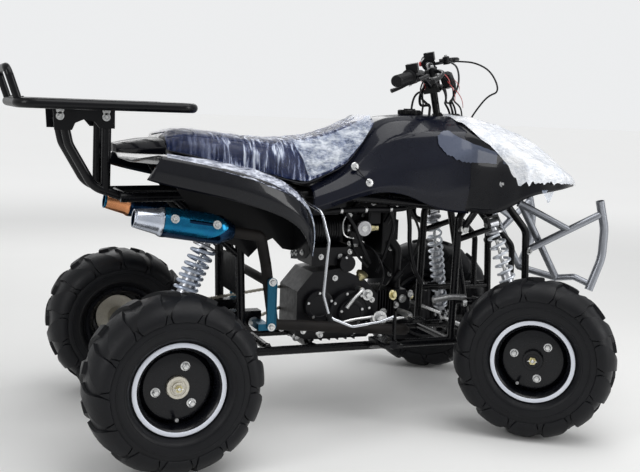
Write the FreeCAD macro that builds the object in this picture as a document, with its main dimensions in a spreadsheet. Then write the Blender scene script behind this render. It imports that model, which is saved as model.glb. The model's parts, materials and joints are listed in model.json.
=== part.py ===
import FreeCAD, Part
import math
import os
import re
import Sketcher
from FreeCAD import Placement, Rotation, Vector

# Quad bike, millimetres. X runs forward, Y to the rider's left and Z up. The origin is on the
# ground, midway along the overall length. It stands parked with its steering turned to the right.

doc = FreeCAD.newDocument("QuadBike")
sizes = doc.addObject("Spreadsheet::Sheet", "sizes")

# Driving sizes: name, value, what it is. Lengths are in millimetres, angles in degrees.
DRIVING_SIZES = (
    ("RearAxleX", -506, "rear axle, from the middle of the overall length"),
    ("WheelBase", 1060, "rear axle to kingpins"),
    ("RearAxleHeight", 222, "rear axle above the ground"),
    ("FrontAxleHeight", 225, "front spindles above the ground"),
    ("RearTrackHalf", 366, "middle of the vehicle to the middle of a rear tyre"),
    ("KingpinHalf", 335, "middle of the vehicle to a kingpin"),
    ("WheelOffset", 56, "kingpin to the middle of a front tyre"),
    ("ParkSteer", 34, "handlebar turned to the right as it is parked"),
    ("RearTyreRadius", 222, "rear tyre to the lugs' tips"),
    ("RearTyreHalf", 95, "half the rear tyre's section width"),
    ("FrontTyreRadius", 225, "front tyre to the lugs' tips"),
    ("FrontTyreHalf", 76, "half the front tyre's section width"),
    ("LugHeight", 9, "tread lug above the carcass"),
    ("LugWidth", 22, "tread lug along the rolling direction"),
    ("LugCount", 14, "lugs on each side of a tyre"),
    ("RimFlangeRadius", 115, "outside of the rim's lip"),
    ("RimSeatRadius", 100, "outside of the rim's barrel"),
    ("RimSheet", 4, "rim steel sheet"),
    ("RimLip", 6, "width of the rim's lip"),
    ("RearRimHalf", 74, "half the rear rim's width"),
    ("FrontRimHalf", 62, "half the front rim's width"),
    ("DiscInset", 34, "outer lip back to the wheel disc"),
    ("HubHole", 28, "radius of the hole in the wheel disc"),
    ("StudCircle", 54, "radius of the stud circle"),
    ("StudHole", 6, "radius of a stud hole"),
    ("StudCount", 3, "wheel studs"),
    ("FitGap", 0.3, "gap between curved pieces that touch"),
    ("RunningFit", 0.08, "radial clearance of a shaft in its bush"),
    ("AxleRadius", 15, "rear axle shaft"),
    ("HubFlangeRadius", 66, "wheel hub flange"),
    ("HubFlangeThick", 8, "wheel hub flange"),
    ("HubBarrelRadius", 30, "wheel hub barrel"),
    ("CarrierRadius", 30, "rear axle bearing carrier"),
    ("CarrierHalf", 50, "half the bearing carrier's length"),
    ("SprocketRadius", 84, "rear sprocket to its tooth tips"),
    ("SprocketThick", 6, "rear sprocket plate"),
    ("SprocketY", 82, "middle of the sprocket and the chain"),
    ("BrakeDiscY", 72, "middle of the rear brake disc, to the right"),
    ("SprocketTeeth", 37, "rear sprocket teeth"),
    ("DriveRadius", 26, "front sprocket to its tooth tips"),
    ("BrakeDiscRadius", 90, "rear brake disc"),
    ("BrakeDiscThick", 4, "rear brake disc"),
    ("FrameTube", 12.5, "radius of the main frame tubes"),
    ("HoopTube", 11, "radius of the front hoops and cross tubes"),
    ("FrameHalf", 110, "middle of the vehicle to a side tube of the frame"),
    ("LowerRailZ", 215, "lower frame rails above the ground"),
    ("SeatRailZ", 646, "seat rails above the ground"),
    ("SeatRailHalf", 100, "middle of the vehicle to a seat rail"),
    ("SwingPivotX", 285, "swingarm pivot ahead of the rear axle"),
    ("SwingPivotZ", 300, "swingarm pivot above the ground"),
    ("StemRake", 12.7, "steering stem leans back from upright"),
    ("StemRadius", 11, "steering stem tube"),
    ("StemLength", 765, "steering stem from its foot to the bar clamp"),
    ("StemFootX", -30, "foot of the stem from the kingpins"),
    ("StemFootZ", 235, "foot of the stem above the ground"),
    ("PitmanReach", 70, "stem to the inner tie rod pins"),
    ("PitmanHalf", 16, "middle of the vehicle to an inner tie rod pin"),
    ("ArmReach", 70, "kingpin back to the outer tie rod pin"),
    ("ArmOutset", 2, "kingpin outward to the outer tie rod pin"),
    ("BushHalf", 135, "middle of the vehicle to the wishbone bushes"),
    ("LowerBushZ", 205, "lower wishbone bushes above the ground"),
    ("UpperBushZ", 335, "upper wishbone bushes above the ground"),
    ("LowerBallZ", 162, "lower wishbone eye above the ground"),
    ("UpperBallZ", 302, "upper wishbone eye above the ground"),
    ("WishboneTube", 10, "radius of the wishbone tubes"),
    ("CrankX", 575, "crankshaft ahead of the rear axle"),
    ("CrankZ", 312, "crankshaft above the ground"),
    ("CaseHalf", 74, "half the crankcase width"),
    ("MufflerRadius", 38, "muffler body"),
    ("MufflerHalf", 220, "middle of the vehicle to a muffler"),
    ("MufflerTipX", -74, "muffler tips from the rear axle"),
    ("MufflerTipZ", 607, "muffler tips above the ground"),
    ("MufflerSlope", 8.4, "mufflers rise to the rear by this angle"),
    ("RackTube", 12.5, "radius of the rack tubes"),
    ("RackDeckZ", 883, "middle of the rack's deck tubes above the ground"),
    ("RackRear", -345, "rear end of the rack deck from the rear axle"),
    ("RackFront", 87, "front end of the rack deck from the rear axle"),
    ("RackHalf", 200, "middle of the vehicle to a side tube of the rack"),
    ("RackLegHalf", 84, "middle of the vehicle to a rack leg"),
    ("PlasticSheet", 4, "moulded plastic bodywork"),
    ("FuelCapRadius", 34, "fuel cap on the tank cover"),
    ("StayRadius", 4, "fender stay, a bent steel rod"),
    ("BumperTube", 13, "radius of the bumper's uprights"),
    ("BumperHalf", 195, "middle of the vehicle to a bumper upright"),
    ("BumperWall", 2.5, "bumper tube wall"),
    ("GripRadius", 16, "handlebar grip"),
    ("GripLength", 120, "handlebar grip"),
    ("BarHalf", 370, "middle of the handlebar to its end"),
    ("BarTube", 11, "radius of the handlebar tube"),
    ("BarRise", 48, "handlebar ends above the clamp"),
    ("BarSweep", 52, "handlebar ends behind the clamp"),
    ("SpringRadius", 26, "front shock spring"),
    ("SpringWire", 4, "radius of the spring wire"),
)
for row, (alias, amount, meaning) in enumerate(DRIVING_SIZES, start=1):
    sizes.set("A%d" % row, meaning)
    sizes.set("B%d" % row, str(amount))
    sizes.setAlias("B%d" % row, alias)
doc.recompute()

SIDES = (("right", -1), ("left", 1))


def size(alias):
    """A driving size as a plain number."""
    return float(sizes.get(alias))


def formula(text):
    """The sheet's names start with a capital: put the sheet before each of them."""
    return re.sub(r"\b([A-Z]\w+)", r"sizes.\1", str(text))


def rear(x, y, z):
    """A place measured forward of the rear axle."""
    return Vector(size("RearAxleX") + x, y, z)


def front(x, y, z):
    """A place measured forward of the kingpins."""
    return Vector(size("RearAxleX") + size("WheelBase") + x, y, z)


# Sketches and features of the bodies

def new_body(label):
    body = doc.addObject("PartDesign::Body", label)
    body.Label = label
    return body


def datum(body, role):
    return next(item for item in body.Origin.OriginFeatures if item.Role == role)


def new_sketch(body, role, offset=0, turn=None):
    sketch = body.newObject("Sketcher::SketchObject", body.Label + "_sketch")
    sketch.AttachmentSupport = [(datum(body, role), "")]
    sketch.MapMode = "FlatFace"
    if turn:
        sketch.AttachmentOffset = Placement(Vector(), turn)
    sketch.setExpression("AttachmentOffset.Base.z", formula(offset))
    return sketch


def bind_point(sketch, number, geometry, position, corner, start):
    """Tie one point of a sketch to its two sizes, measured from the sketch's origin."""
    for kind, text, first in (("DistanceX", corner[0], start.x), ("DistanceY", corner[1], start.y)):
        index = sketch.addConstraint(
            Sketcher.Constraint(kind, -1, 1, geometry, position, first))
        name = "%s%d" % (kind[-1].lower(), number)
        sketch.renameConstraint(index, name)
        sketch.setExpression("Constraints." + name, formula(text))


def outline(body, role, corners, offset=0, turn=None):
    """A closed outline through the corners, each given by two sizes."""
    sketch = new_sketch(body, role, offset, turn)
    count = len(corners)
    step = 2 * math.pi / count
    places = [Vector(50 * math.cos(step * i), 50 * math.sin(step * i), 0) for i in range(count)]
    for i in range(count):
        sketch.addGeometry(Part.LineSegment(places[i], places[(i + 1) % count]), False)
    for i in range(count):
        sketch.addConstraint(Sketcher.Constraint("Coincident", i, 2, (i + 1) % count, 1))
    for i, corner in enumerate(corners):
        bind_point(sketch, i, i, 1, corner, places[i])
    return sketch


def rings(body, role, circles, offset=0):
    """Circles given by two sizes for the centre and one for the radius."""
    sketch = new_sketch(body, role, offset)
    for i, (x, y, radius) in enumerate(circles):
        start = Vector(40 * i, 10, 0)
        sketch.addGeometry(Part.Circle(start, Vector(0, 0, 1), 5), False)
        bind_point(sketch, i, i, 3, (x, y), start)
        index = sketch.addConstraint(Sketcher.Constraint("Radius", i, 5))
        sketch.renameConstraint(index, "r%d" % i)
        sketch.setExpression("Constraints.r%d" % i, formula(radius))
    return sketch


def pad(body, sketch, length, midplane=False, flip=False):
    feature = body.newObject("PartDesign::Pad", body.Label + "_pad")
    feature.Profile = sketch
    feature.setExpression("Length", formula(length))
    feature.SideType = "Symmetric" if midplane else "One side"
    feature.Reversed = flip
    return feature


def cut_through(body, sketch):
    feature = body.newObject("PartDesign::Pocket", body.Label + "_pocket")
    feature.Profile = sketch
    feature.Type = "ThroughAll"
    feature.SideType = "Symmetric"
    return feature


def revolve(body, sketch, axis):
    feature = body.newObject("PartDesign::Revolution", body.Label + "_revolution")
    feature.Profile = sketch
    feature.ReferenceAxis = (datum(body, axis), [""])
    feature.Angle = 360
    return feature


def around(body, feature, axis, count):
    pattern = body.newObject("PartDesign::PolarPattern", body.Label + "_ring")
    pattern.Originals = [feature]
    pattern.Axis = (datum(body, axis), [""])
    pattern.Angle = 360
    pattern.setExpression("Occurrences", formula(count))
    body.Tip = pattern
    return pattern


def along(body, feature, axis, length, count):
    pattern = body.newObject("PartDesign::LinearPattern", body.Label + "_row")
    pattern.Originals = [feature]
    pattern.Direction = (datum(body, axis), [""])
    pattern.setExpression("Length", formula(length))
    pattern.Occurrences = count
    body.Tip = pattern
    return pattern


def ruled_loft(body, sections):
    feature = body.newObject("PartDesign::AdditiveLoft", body.Label + "_loft")
    feature.Profile = sections[0]
    feature.Sections = sections[1:]
    feature.Ruled = True
    return feature


def place(body, x=0, y=0, z=0, rotation=None):
    """Put a body where three sizes say, turned in place if asked."""
    body.Placement = Placement(Vector(), rotation or Rotation())
    for letter, text in zip("xyz", (x, y, z)):
        body.setExpression("Placement.Base." + letter, formula(text))


# Bent tubes and welded pieces

def rod(start, end, radius):
    return Part.makeCylinder(radius, (end - start).Length, start, end - start)


def bent_path(points, bend):
    """Straight runs joined by tangent arcs of one bending radius."""
    edges = []
    start = points[0]
    for before, corner, after in zip(points, points[1:], points[2:]):
        back = (before - corner).normalize()
        ahead = (after - corner).normalize()
        half = back.getAngle(ahead) / 2
        setback = bend / math.tan(half)
        middle = (back + ahead).normalize()
        centre = corner + middle * (bend / math.sin(half))
        enter = corner + back * setback
        leave = corner + ahead * setback
        edges.append(Part.LineSegment(start, enter).toShape())
        edges.append(Part.Arc(enter, centre - middle * bend, leave).toShape())
        start = leave
    edges.append(Part.LineSegment(start, points[-1]).toShape())
    return Part.Wire(edges)


def tube(points, radius, bend=60):
    if len(points) == 2:
        return rod(points[0], points[1], radius)
    ring = Part.Wire(Part.Circle(points[0], points[1] - points[0], radius).toShape())
    return bent_path(points, bend).makePipeShell([ring], True, False)


def joined(shapes):
    """Tubes and plates welded one after another."""
    whole = shapes[0]
    for shape in shapes[1:]:
        whole = whole.fuse(shape)
    return whole


def drilled(shape, bores):
    for bore in bores:
        shape = shape.cut(bore)
    return shape


def welded(label, shapes):
    """One piece of the vehicle made of tubes and plates joined together."""
    item = doc.addObject("Part::Feature", label)
    item.Label = label
    item.Shape = joined(shapes)
    return item


def block(low, high):
    """A plate or block between two opposite corners."""
    return Part.makeBox(high.x - low.x, high.y - low.y, high.z - low.z, low)


# Wheels: a tyre with bar lugs over its shoulders on a pressed steel rim, built about the origin
# with the axle along Y and the outside of the wheel to +Y

def flat_sided_ring(label, profile, count):
    """A ring of flat faces round the Y axis through corners given as place on the axle and
    distance of the flats from it."""
    grow = 1 / math.cos(math.pi / count)
    rows = []
    for turn in range(count):
        angle = 2 * math.pi * (turn + 0.5) / count
        rows.append([Vector(reach * grow * math.cos(angle), y, reach * grow * math.sin(angle))
                     for y, reach in profile])
    faces = []
    for row, after in zip(rows, rows[1:] + rows[:1]):
        quads = zip(row, row[1:] + row[:1], after[1:] + after[:1], after)
        faces += [Part.Face(Part.makePolygon([*quad, quad[0]])) for quad in quads]
    ring = doc.addObject("Part::Feature", label)
    ring.Shape = Part.makeSolid(Part.makeShell(faces))
    return ring


def make_tyre(label, radius, half, rim_half):
    """A casing with one flat under each lug of either side, and the lugs over its shoulders."""
    bead = size(rim_half) - size("RimLip") - size("FitGap")
    bore = size("RimSeatRadius") + size("FitGap")
    wall = size("RimFlangeRadius") + 1
    bulge = (size(radius) + size("RimFlangeRadius")) / 2
    shoulder = size(half) * 0.74
    crown = size(radius) - size("LugHeight")
    tyre = new_body(label)
    tyre.BaseFeature = flat_sided_ring(label + "_casing", (
        (-bead, bore), (-bead, wall), (-size(half), bulge), (-shoulder, crown),
        (shoulder, crown), (size(half), bulge), (bead, wall), (bead, bore)),
        2 * int(size("LugCount")))
    carcass = "%s - LugHeight" % radius
    half_pitch = 180 / size("LugCount")
    for sign, turned in ((1, 0), (-1, half_pitch)):
        lug = outline(tyre, "YZ_Plane", (
            ("%d * 6" % sign, "%s - 3" % carcass), ("%d * 6" % sign, radius),
            ("%d * %s * 0.76" % (sign, half), "%s - 2" % radius),
            ("%d * (%s * 0.94)" % (sign, half), "%s - LugHeight * 3" % radius),
            ("%d * (%s * 0.84)" % (sign, half), "%s - LugHeight * 3" % radius),
            ("%d * %s * 0.70" % (sign, half), "%s - 3" % carcass)),
            turn=Rotation(Vector(1, 0, 0), turned))
        around(tyre, pad(tyre, lug, "LugWidth", midplane=True), "Y_Axis", "LugCount")
    return tyre


def make_rim(label, rim_half):
    rim = new_body(label)
    face = "%s - DiscInset" % rim_half
    inside = "RimSeatRadius - RimSheet"
    revolve(rim, outline(rim, "YZ_Plane", (
        ("-%s" % rim_half, "RimFlangeRadius"), ("-%s" % rim_half, inside),
        (face, inside), (face, "HubHole"),
        ("%s + RimSheet" % face, "HubHole"), ("%s + RimSheet" % face, inside),
        (rim_half, inside), (rim_half, "RimFlangeRadius"),
        ("%s - RimLip" % rim_half, "RimFlangeRadius"), ("%s - RimLip" % rim_half, "RimSeatRadius"),
        ("RimLip - %s" % rim_half, "RimSeatRadius"),
        ("RimLip - %s" % rim_half, "RimFlangeRadius"))), "Y_Axis")
    holes = cut_through(rim, rings(rim, "XZ_Plane", (("0", "StudCircle", "StudHole"),)))
    around(rim, holes, "Y_Axis", "StudCount")
    return rim


def make_hub(label, rim_half, bore, inner, nose):
    """A hub with a flange behind the wheel disc and a nose through it. Studs pass the disc."""
    hub = new_body(label)
    seat = "%s - DiscInset" % rim_half
    revolve(hub, outline(hub, "YZ_Plane", (
        (inner, bore), (inner, "HubBarrelRadius"),
        ("%s - HubFlangeThick" % seat, "HubBarrelRadius"),
        ("%s - HubFlangeThick" % seat, "HubFlangeRadius"), (seat, "HubFlangeRadius"),
        (seat, "HubHole - FitGap"), ("%s + %s" % (seat, nose), "HubHole - FitGap"),
        ("%s + %s" % (seat, nose), bore))), "Y_Axis")
    studs = rings(hub, "XZ_Plane", (("0", "StudCircle", "StudHole - FitGap"),),
                  offset="-(%s)" % seat)
    around(hub, pad(hub, studs, "RimSheet + 10", flip=True), "Y_Axis", "StudCount")
    return hub


OUTWARD = {"right": Rotation(Vector(0, 0, 1), 180), "left": Rotation()}

for side, sign in SIDES:
    wheel = (
        make_tyre("tyre_rear_" + side, "RearTyreRadius", "RearTyreHalf", "RearRimHalf"),
        make_rim("rim_rear_" + side, "RearRimHalf"))
    for item in wheel:
        place(item, "RearAxleX", "%d * RearTrackHalf" % sign, "RearAxleHeight", OUTWARD[side])


# Rear axle: shaft with its wheel hubs, sprocket with its teeth, and brake disc, which turn with
# the rear wheels

def make_axle_shaft():
    shaft = new_body("rear_axle_shaft")
    barrel = "RearTrackHalf - 20"
    seat = "RearTrackHalf + RearRimHalf - DiscInset"
    end = "RearTrackHalf + RearRimHalf - 8"
    journal = "AxleRadius - FitGap"
    left_half = (
        (barrel, journal), (barrel, "HubBarrelRadius"),
        (seat + " - HubFlangeThick", "HubBarrelRadius"),
        (seat + " - HubFlangeThick", "HubFlangeRadius"), (seat, "HubFlangeRadius"),
        (seat, "HubHole - FitGap"), (seat + " + 14", "HubHole - FitGap"),
        (seat + " + 14", journal), (end, journal), (end, "0"))
    right_half = [("-(%s)" % y, z) for y, z in reversed(left_half)]
    revolve(shaft, outline(shaft, "YZ_Plane", right_half + list(left_half)), "Y_Axis")
    for side, sign in SIDES:
        studs = rings(shaft, "XZ_Plane", (("0", "StudCircle", "StudHole - FitGap"),),
                      offset="%d * (%s)" % (-sign, seat))
        around(shaft, pad(shaft, studs, "RimSheet + 10", flip=sign > 0), "Y_Axis", "StudCount")
    return shaft


def make_axle_plate(label, radius, thick, middle, sign):
    """A plate on the axle with its own boss, which stays off the bearing carrier."""
    plate = new_body(label)
    near = "%s - %s / 2" % (middle, thick)
    far = "%s + %s / 2" % (middle, thick)
    boss = "CarrierHalf + 6"
    points = ((boss, "AxleRadius"), (boss, "CarrierRadius"), (near, "CarrierRadius"),
              (near, radius), (far, radius), (far, "AxleRadius"))
    revolve(plate, outline(
        plate, "YZ_Plane", [("%d * (%s)" % (sign, y), z) for y, z in points]), "Y_Axis")
    return plate


axle_shaft = make_axle_shaft()
sprocket = make_axle_plate("rear_sprocket", "SprocketRadius", "SprocketThick", "SprocketY", 1)
tooth_gap = cut_through(sprocket, outline(sprocket, "XZ_Plane", (
    ("-4", "SprocketRadius + 1"), ("-1.6", "SprocketRadius - 6"),
    ("1.6", "SprocketRadius - 6"), ("4", "SprocketRadius + 1"))))
around(sprocket, tooth_gap, "Y_Axis", "SprocketTeeth")
windows = cut_through(sprocket, rings(sprocket, "XZ_Plane", (
    ("0", "SprocketRadius * 0.65", "13"),)))
around(sprocket, windows, "Y_Axis", 5)
brake_disc = make_axle_plate("brake_disc", "BrakeDiscRadius", "BrakeDiscThick", "BrakeDiscY", -1)
vents = cut_through(brake_disc, rings(brake_disc, "XZ_Plane", (
    ("0", "BrakeDiscRadius - 16", "4"),)))
around(brake_disc, vents, "Y_Axis", 12)
for item in (axle_shaft, sprocket, brake_disc):
    place(item, "RearAxleX", 0, "RearAxleHeight")


# Swingarm: pivot tube, two arms, the axle's bearing carrier, the shock's lower ears and the
# brake caliper that straddles the disc

axle_centre = rear(0, 0, size("RearAxleHeight"))
pivot = rear(size("SwingPivotX"), 0, size("SwingPivotZ"))
across = Vector(0, 1, 0)
SWING_ARM_TUBE = 14
SWING_ARM_HALF = 34
PIVOT_BOLT = 8
PIVOT_TUBE_HALF = 62
CALIPER_SLOT_HALF = 7.5
REAR_EYE_HALF = 22
REAR_EYE_BOLT = 6
shock_foot = rear(80, 0, 292)
shock_head = rear(182, 0, 522)


def make_swingarm():
    carrier_half = size("CarrierHalf")
    shapes = [
        rod(axle_centre - across * carrier_half, axle_centre + across * carrier_half,
            size("CarrierRadius")),
        rod(pivot - across * PIVOT_TUBE_HALF, pivot + across * PIVOT_TUBE_HALF, 17)]
    for side, sign in SIDES:
        inset = across * (sign * SWING_ARM_HALF)
        shapes.append(rod(pivot + inset, axle_centre + inset, SWING_ARM_TUBE))
        ear_y = sign * (REAR_EYE_HALF + size("FitGap") + 3)
        shapes.append(block(shock_foot + Vector(-16, ear_y - 3, -52),
                            shock_foot + Vector(16, ear_y + 3, 16)))
    disc_y = size("BrakeDiscY")
    shapes.append(block(rear(36, -disc_y - 16, 236), rear(100, -SWING_ARM_HALF - 8, 326)))
    slot_y = across * (disc_y + CALIPER_SLOT_HALF)
    slot = rod(axle_centre - slot_y, axle_centre - slot_y + across * (2 * CALIPER_SLOT_HALF),
               size("BrakeDiscRadius") + 6)
    return drilled(joined(shapes), (
        slot,
        rod(axle_centre - across * 60, axle_centre + across * 60,
            size("AxleRadius") - size("FitGap") + size("RunningFit")),
        rod(pivot - across * 80, pivot + across * 80, PIVOT_BOLT + size("FitGap")),
        rod(shock_foot - across * 40, shock_foot + across * 40,
            REAR_EYE_BOLT + size("FitGap"))))


welded("swingarm", [make_swingarm()])


# Shock absorbers: an eye with its bolt at each end, a damper body and rod, and a coil spring
# between its cups

def shock_shape(foot, head, coil_radius, wire, turns, eye_half, bolt):
    """Damper and spring as one solid, standing on Z and then laid between its two eyes."""
    length = (head - foot).Length
    eye = 15
    bolt_half = eye_half + 10
    damper = coil_radius * 0.62
    core = coil_radius - 2 * wire + 1.5
    low_cup = eye + 22
    high_cup = length - eye - 14
    pitch = (high_cup - low_cup) / turns
    # radius, height
    profile = [(0, eye - 4), (6, eye - 4), (6, eye + 2), (damper, eye + 2), (damper, low_cup - 6),
               (coil_radius, low_cup - 6), (coil_radius, low_cup), (core, low_cup)]
    for turn in range(turns):
        middle = low_cup + pitch * (turn + 0.5)
        profile += [(core, middle - wire), (coil_radius, middle - wire),
                    (coil_radius, middle + wire), (core, middle + wire)]
    profile += [(core, high_cup), (coil_radius, high_cup), (coil_radius, high_cup + 6),
                (6, high_cup + 6), (6, length - eye + 4), (0, length - eye + 4)]
    corners = [Vector(out, 0, height) for out, height in profile]
    parts = [Part.Face(Part.makePolygon(corners + corners[:1])).revolve(
        Vector(), Vector(0, 0, 1), 360)]
    for height in (0, length):
        for radius, half in ((eye, eye_half), (bolt, bolt_half)):
            parts.append(Part.makeCylinder(
                radius, 2 * half, Vector(0, -half, height), Vector(0, 1, 0)))
    return joined(parts)


def laid_between(shape, foot, head, eye_axis):
    """Stand a shape on foot, point it at head and line up its eyes."""
    shape.Placement = Placement(foot, Rotation(Vector(), eye_axis, head - foot, "ZYX"))
    return shape


def clevis(eye_half, bolt, base_z):
    """Two ears, bored for a shock's bolt, on a base at some height from the bolt."""
    outward = math.copysign(1, base_z)
    parts = []
    for side, sign in SIDES:
        near, far = sorted((sign * (eye_half + size("FitGap")), sign * (eye_half + 5)))
        low, high = sorted((-13 * outward, base_z + 3 * outward))
        parts.append(block(Vector(-12, near, low), Vector(12, far, high)))
    low, high = sorted((base_z, base_z + 6 * outward))
    parts.append(block(Vector(-12, -eye_half - 5, low), Vector(12, eye_half + 5, high)))
    hole = Part.makeCylinder(bolt + size("FitGap"), 4 * eye_half, Vector(0, -2 * eye_half, 0),
                             Vector(0, 1, 0))
    return joined(parts).cut(hole)


welded("shock_rear", [laid_between(
    shock_shape(shock_foot, shock_head, 36, 5, 9, REAR_EYE_HALF, REAR_EYE_BOLT),
    shock_foot, shock_head, across)])


# Main frame: lower and seat rails, rear uprights, front hoops, cross tubes, plates and brackets

frame_half = size("FrameHalf")
rail_z = size("LowerRailZ")
seat_rail_z = size("SeatRailZ")
frame_tube = size("FrameTube")
hoop_tube = size("HoopTube")
UPRIGHT_X = 246
REAR_HOOP_X = -150
FRONT_HOOP_X = 106
HOOP_TOP_X = -60
HOOP_TOP_Z = 712
UPPER_SIDE_Z = 335
stem_foot = front(size("StemFootX"), 0, size("StemFootZ"))
stem_frame = Placement(stem_foot, Rotation(Vector(0, 1, 0), -size("StemRake")))
BEARING_HEIGHT = 480
CASE_DEPTH = 80
LOWER_BUSH_X = (-60, 60)
UPPER_BUSH_X = (-100, 88)
BUSH_RADIUS = 12
BUSH_HALF_LENGTH = 16
TAB_THICK = 4
FRONT_EYE_HALF = 15
FRONT_EYE_BOLT = 5
forward = Vector(1, 0, 0)


def front_shock_ends(sign):
    """The foot and the head of a front shock."""
    return front(20, sign * 262, 214), front(-75, sign * 185, 578)


def rear_leg_of_hoop(sign, z):
    """A point on the slanting run of a hoop between its rear leg and its top."""
    share = (z - seat_rail_z + 60) / (HOOP_TOP_Z - seat_rail_z + 60)
    return front(REAR_HOOP_X + 6 + (HOOP_TOP_X - REAR_HOOP_X - 6) * share, sign * frame_half, z)


def shock_tower(sign):
    """The clevis for a front shock's head, on a short tube out from the hoop."""
    foot, head = front_shock_ends(sign)
    ears = clevis(FRONT_EYE_HALF, FRONT_EYE_BOLT, 17)
    laid_between(ears, head, head + (head - foot), forward)
    outrigger = rod(rear_leg_of_hoop(sign, 640), head + (head - foot).normalize() * 24, 9)
    return [outrigger, ears]


def hoop(sign, radius):
    """The big hoop beside the front wheel, from one lower rail up and over to the same rail."""
    y = sign * frame_half
    return tube([front(REAR_HOOP_X, y, rail_z), front(REAR_HOOP_X + 6, y, seat_rail_z - 60),
                 front(HOOP_TOP_X, y, HOOP_TOP_Z), front(FRONT_HOOP_X - 14, y, 545),
                 front(FRONT_HOOP_X + 4, y, rail_z)], radius, 46)


def seat_rail(sign, radius):
    """The rail under one side of the seat, forward to the front hoop's rear leg."""
    seat_y = sign * size("SeatRailHalf")
    return tube([rear(-84, seat_y, seat_rail_z), rear(470, seat_y, seat_rail_z + 10),
                 front(REAR_HOOP_X + 10, sign * frame_half, seat_rail_z - 30)], radius, 200)


def bush_tabs(sign, x, z):
    """The pair of plates that hold one wishbone bush to the frame's side."""
    plates = []
    for end in (-1, 1):
        gap = BUSH_HALF_LENGTH + size("FitGap")
        near = x + end * gap
        far = near + end * TAB_THICK
        inner = frame_half
        outer = size("BushHalf") + 7
        low = front(min(near, far), min(sign * inner, sign * outer), z - 14)
        high = front(max(near, far), max(sign * inner, sign * outer), z + 14)
        plates.append(block(low, high))
    return plates


def side_of_frame(sign):
    y = sign * frame_half
    seat_y = sign * size("SeatRailHalf")
    parts = [
        tube([rear(UPRIGHT_X - 10, seat_y, seat_rail_z), rear(UPRIGHT_X + 6, y, rail_z),
              front(FRONT_HOOP_X + 16, y, rail_z)], frame_tube, 40),
        seat_rail(sign, frame_tube),
        hoop(sign, hoop_tube),
        tube([front(REAR_HOOP_X + 2, y, 520), front(-14, y, 560), front(46, y, 500),
              front(50, y, UPPER_SIDE_Z)], 9, 40),
        rod(front(REAR_HOOP_X, y, UPPER_SIDE_Z), front(FRONT_HOOP_X, y, UPPER_SIDE_Z), 9),
        rod(rear(UPRIGHT_X, y * 0.95, 480), rear(56, seat_y, seat_rail_z), 9)]
    for x in LOWER_BUSH_X:
        parts += bush_tabs(sign, x, size("LowerBushZ"))
    for x in UPPER_BUSH_X:
        parts += bush_tabs(sign, x, size("UpperBushZ"))
    return parts + shock_tower(sign)


def make_main_frame():
    shapes = []
    for side, sign in SIDES:
        shapes += side_of_frame(sign)
    cross_tubes = (
        (rear(330, 0, rail_z + 8), frame_half, hoop_tube),
        (rear(470, 0, rail_z), frame_half, hoop_tube),
        (front(REAR_HOOP_X, 0, rail_z), frame_half, hoop_tube),
        (front(FRONT_HOOP_X - 28, 0, rail_z), frame_half, hoop_tube),
        (front(HOOP_TOP_X, 0, HOOP_TOP_Z - 12), frame_half, hoop_tube),
        (rear(-70, 0, seat_rail_z), size("SeatRailHalf"), hoop_tube),
        (rear(166, 0, 551), size("SeatRailHalf"), hoop_tube),
        (front(size("StemFootX") + 6, 0, rail_z - 6), frame_half, hoop_tube),
        (rear(700, 0, seat_rail_z - 6), frame_half - 4, 9))
    for middle, half, radius in cross_tubes:
        shapes.append(rod(middle - across * half, middle + across * half, radius))
    shapes.append(block(rear(458, -60, rail_z + 4), rear(482, 60, size("CrankZ") - CASE_DEPTH)))
    for side, sign in SIDES:
        plate_y = sign * (PIVOT_TUBE_HALF + 6)
        shapes.append(block(rear(228, min(plate_y - 4, sign * 100), 270),
                            rear(310, max(plate_y + 4, sign * 100), 330)))
        ear_y = sign * (REAR_EYE_HALF + size("FitGap") + 3)
        shapes.append(block(rear(166, ear_y - 3, 511), rear(198, ear_y + 3, 554)))
    collar = stem_frame.multVec(Vector(0, 0, BEARING_HEIGHT))
    stem_up = stem_frame.Rotation.multVec(Vector(0, 0, 1))
    shapes.append(rod(collar - stem_up * 12, collar + stem_up * 12, size("StemRadius") + 7))
    shapes.append(block(front(-126, -26, 696), front(HOOP_TOP_X, 26, 704)))
    shapes.append(rod(stem_foot - stem_up * 20, stem_foot + stem_up * 14,
                      size("StemRadius") + 6))
    fit = size("StemRadius") + size("RunningFit")
    return drilled(joined(shapes), (
        rod(stem_foot, stem_foot + stem_up * 30, fit),
        rod(collar - stem_up * 40, collar + stem_up * 40, fit),
        rod(pivot - across * 120, pivot + across * 120, PIVOT_BOLT + size("FitGap")),
        rod(shock_head - across * 60, shock_head + across * 60,
            REAR_EYE_BOLT + size("FitGap"))))


welded("main_frame", [make_main_frame()])
SWING_BOLT_HALF = 112
welded("swingarm_bolt", [
    rod(pivot - across * SWING_BOLT_HALF, pivot + across * SWING_BOLT_HALF, PIVOT_BOLT)])


# Engine: crankcase with its two round covers, finned cylinder lying forward, and head

case = new_body("engine_crankcase")
pad(case, outline(case, "XZ_Plane", (
    ("-150", "-66"), ("-120", -CASE_DEPTH), ("72", -CASE_DEPTH), ("104", "-46"), ("104", "44"),
    ("58", "92"), ("-20", "126"), ("-104", "116"), ("-150", "62"))), "2 * CaseHalf", midplane=True)
COVERS = (
    # x, z, radius, height, side
    (8, -2, 66, 22, -1), (8, -2, 40, 30, -1), (-86, 22, 44, 16, -1),
    (8, 0, 60, 24, 1), (8, 0, 34, 29, 1), (-98, 30, 26.7, 11, 1))
for x, z, radius, height, sign in COVERS:
    cover = rings(case, "XZ_Plane", ((x, z, radius),), offset="%d * CaseHalf" % -sign)
    pad(case, cover, height, flip=sign > 0)
place(case, "RearAxleX + CrankX", 0, "CrankZ")

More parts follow.
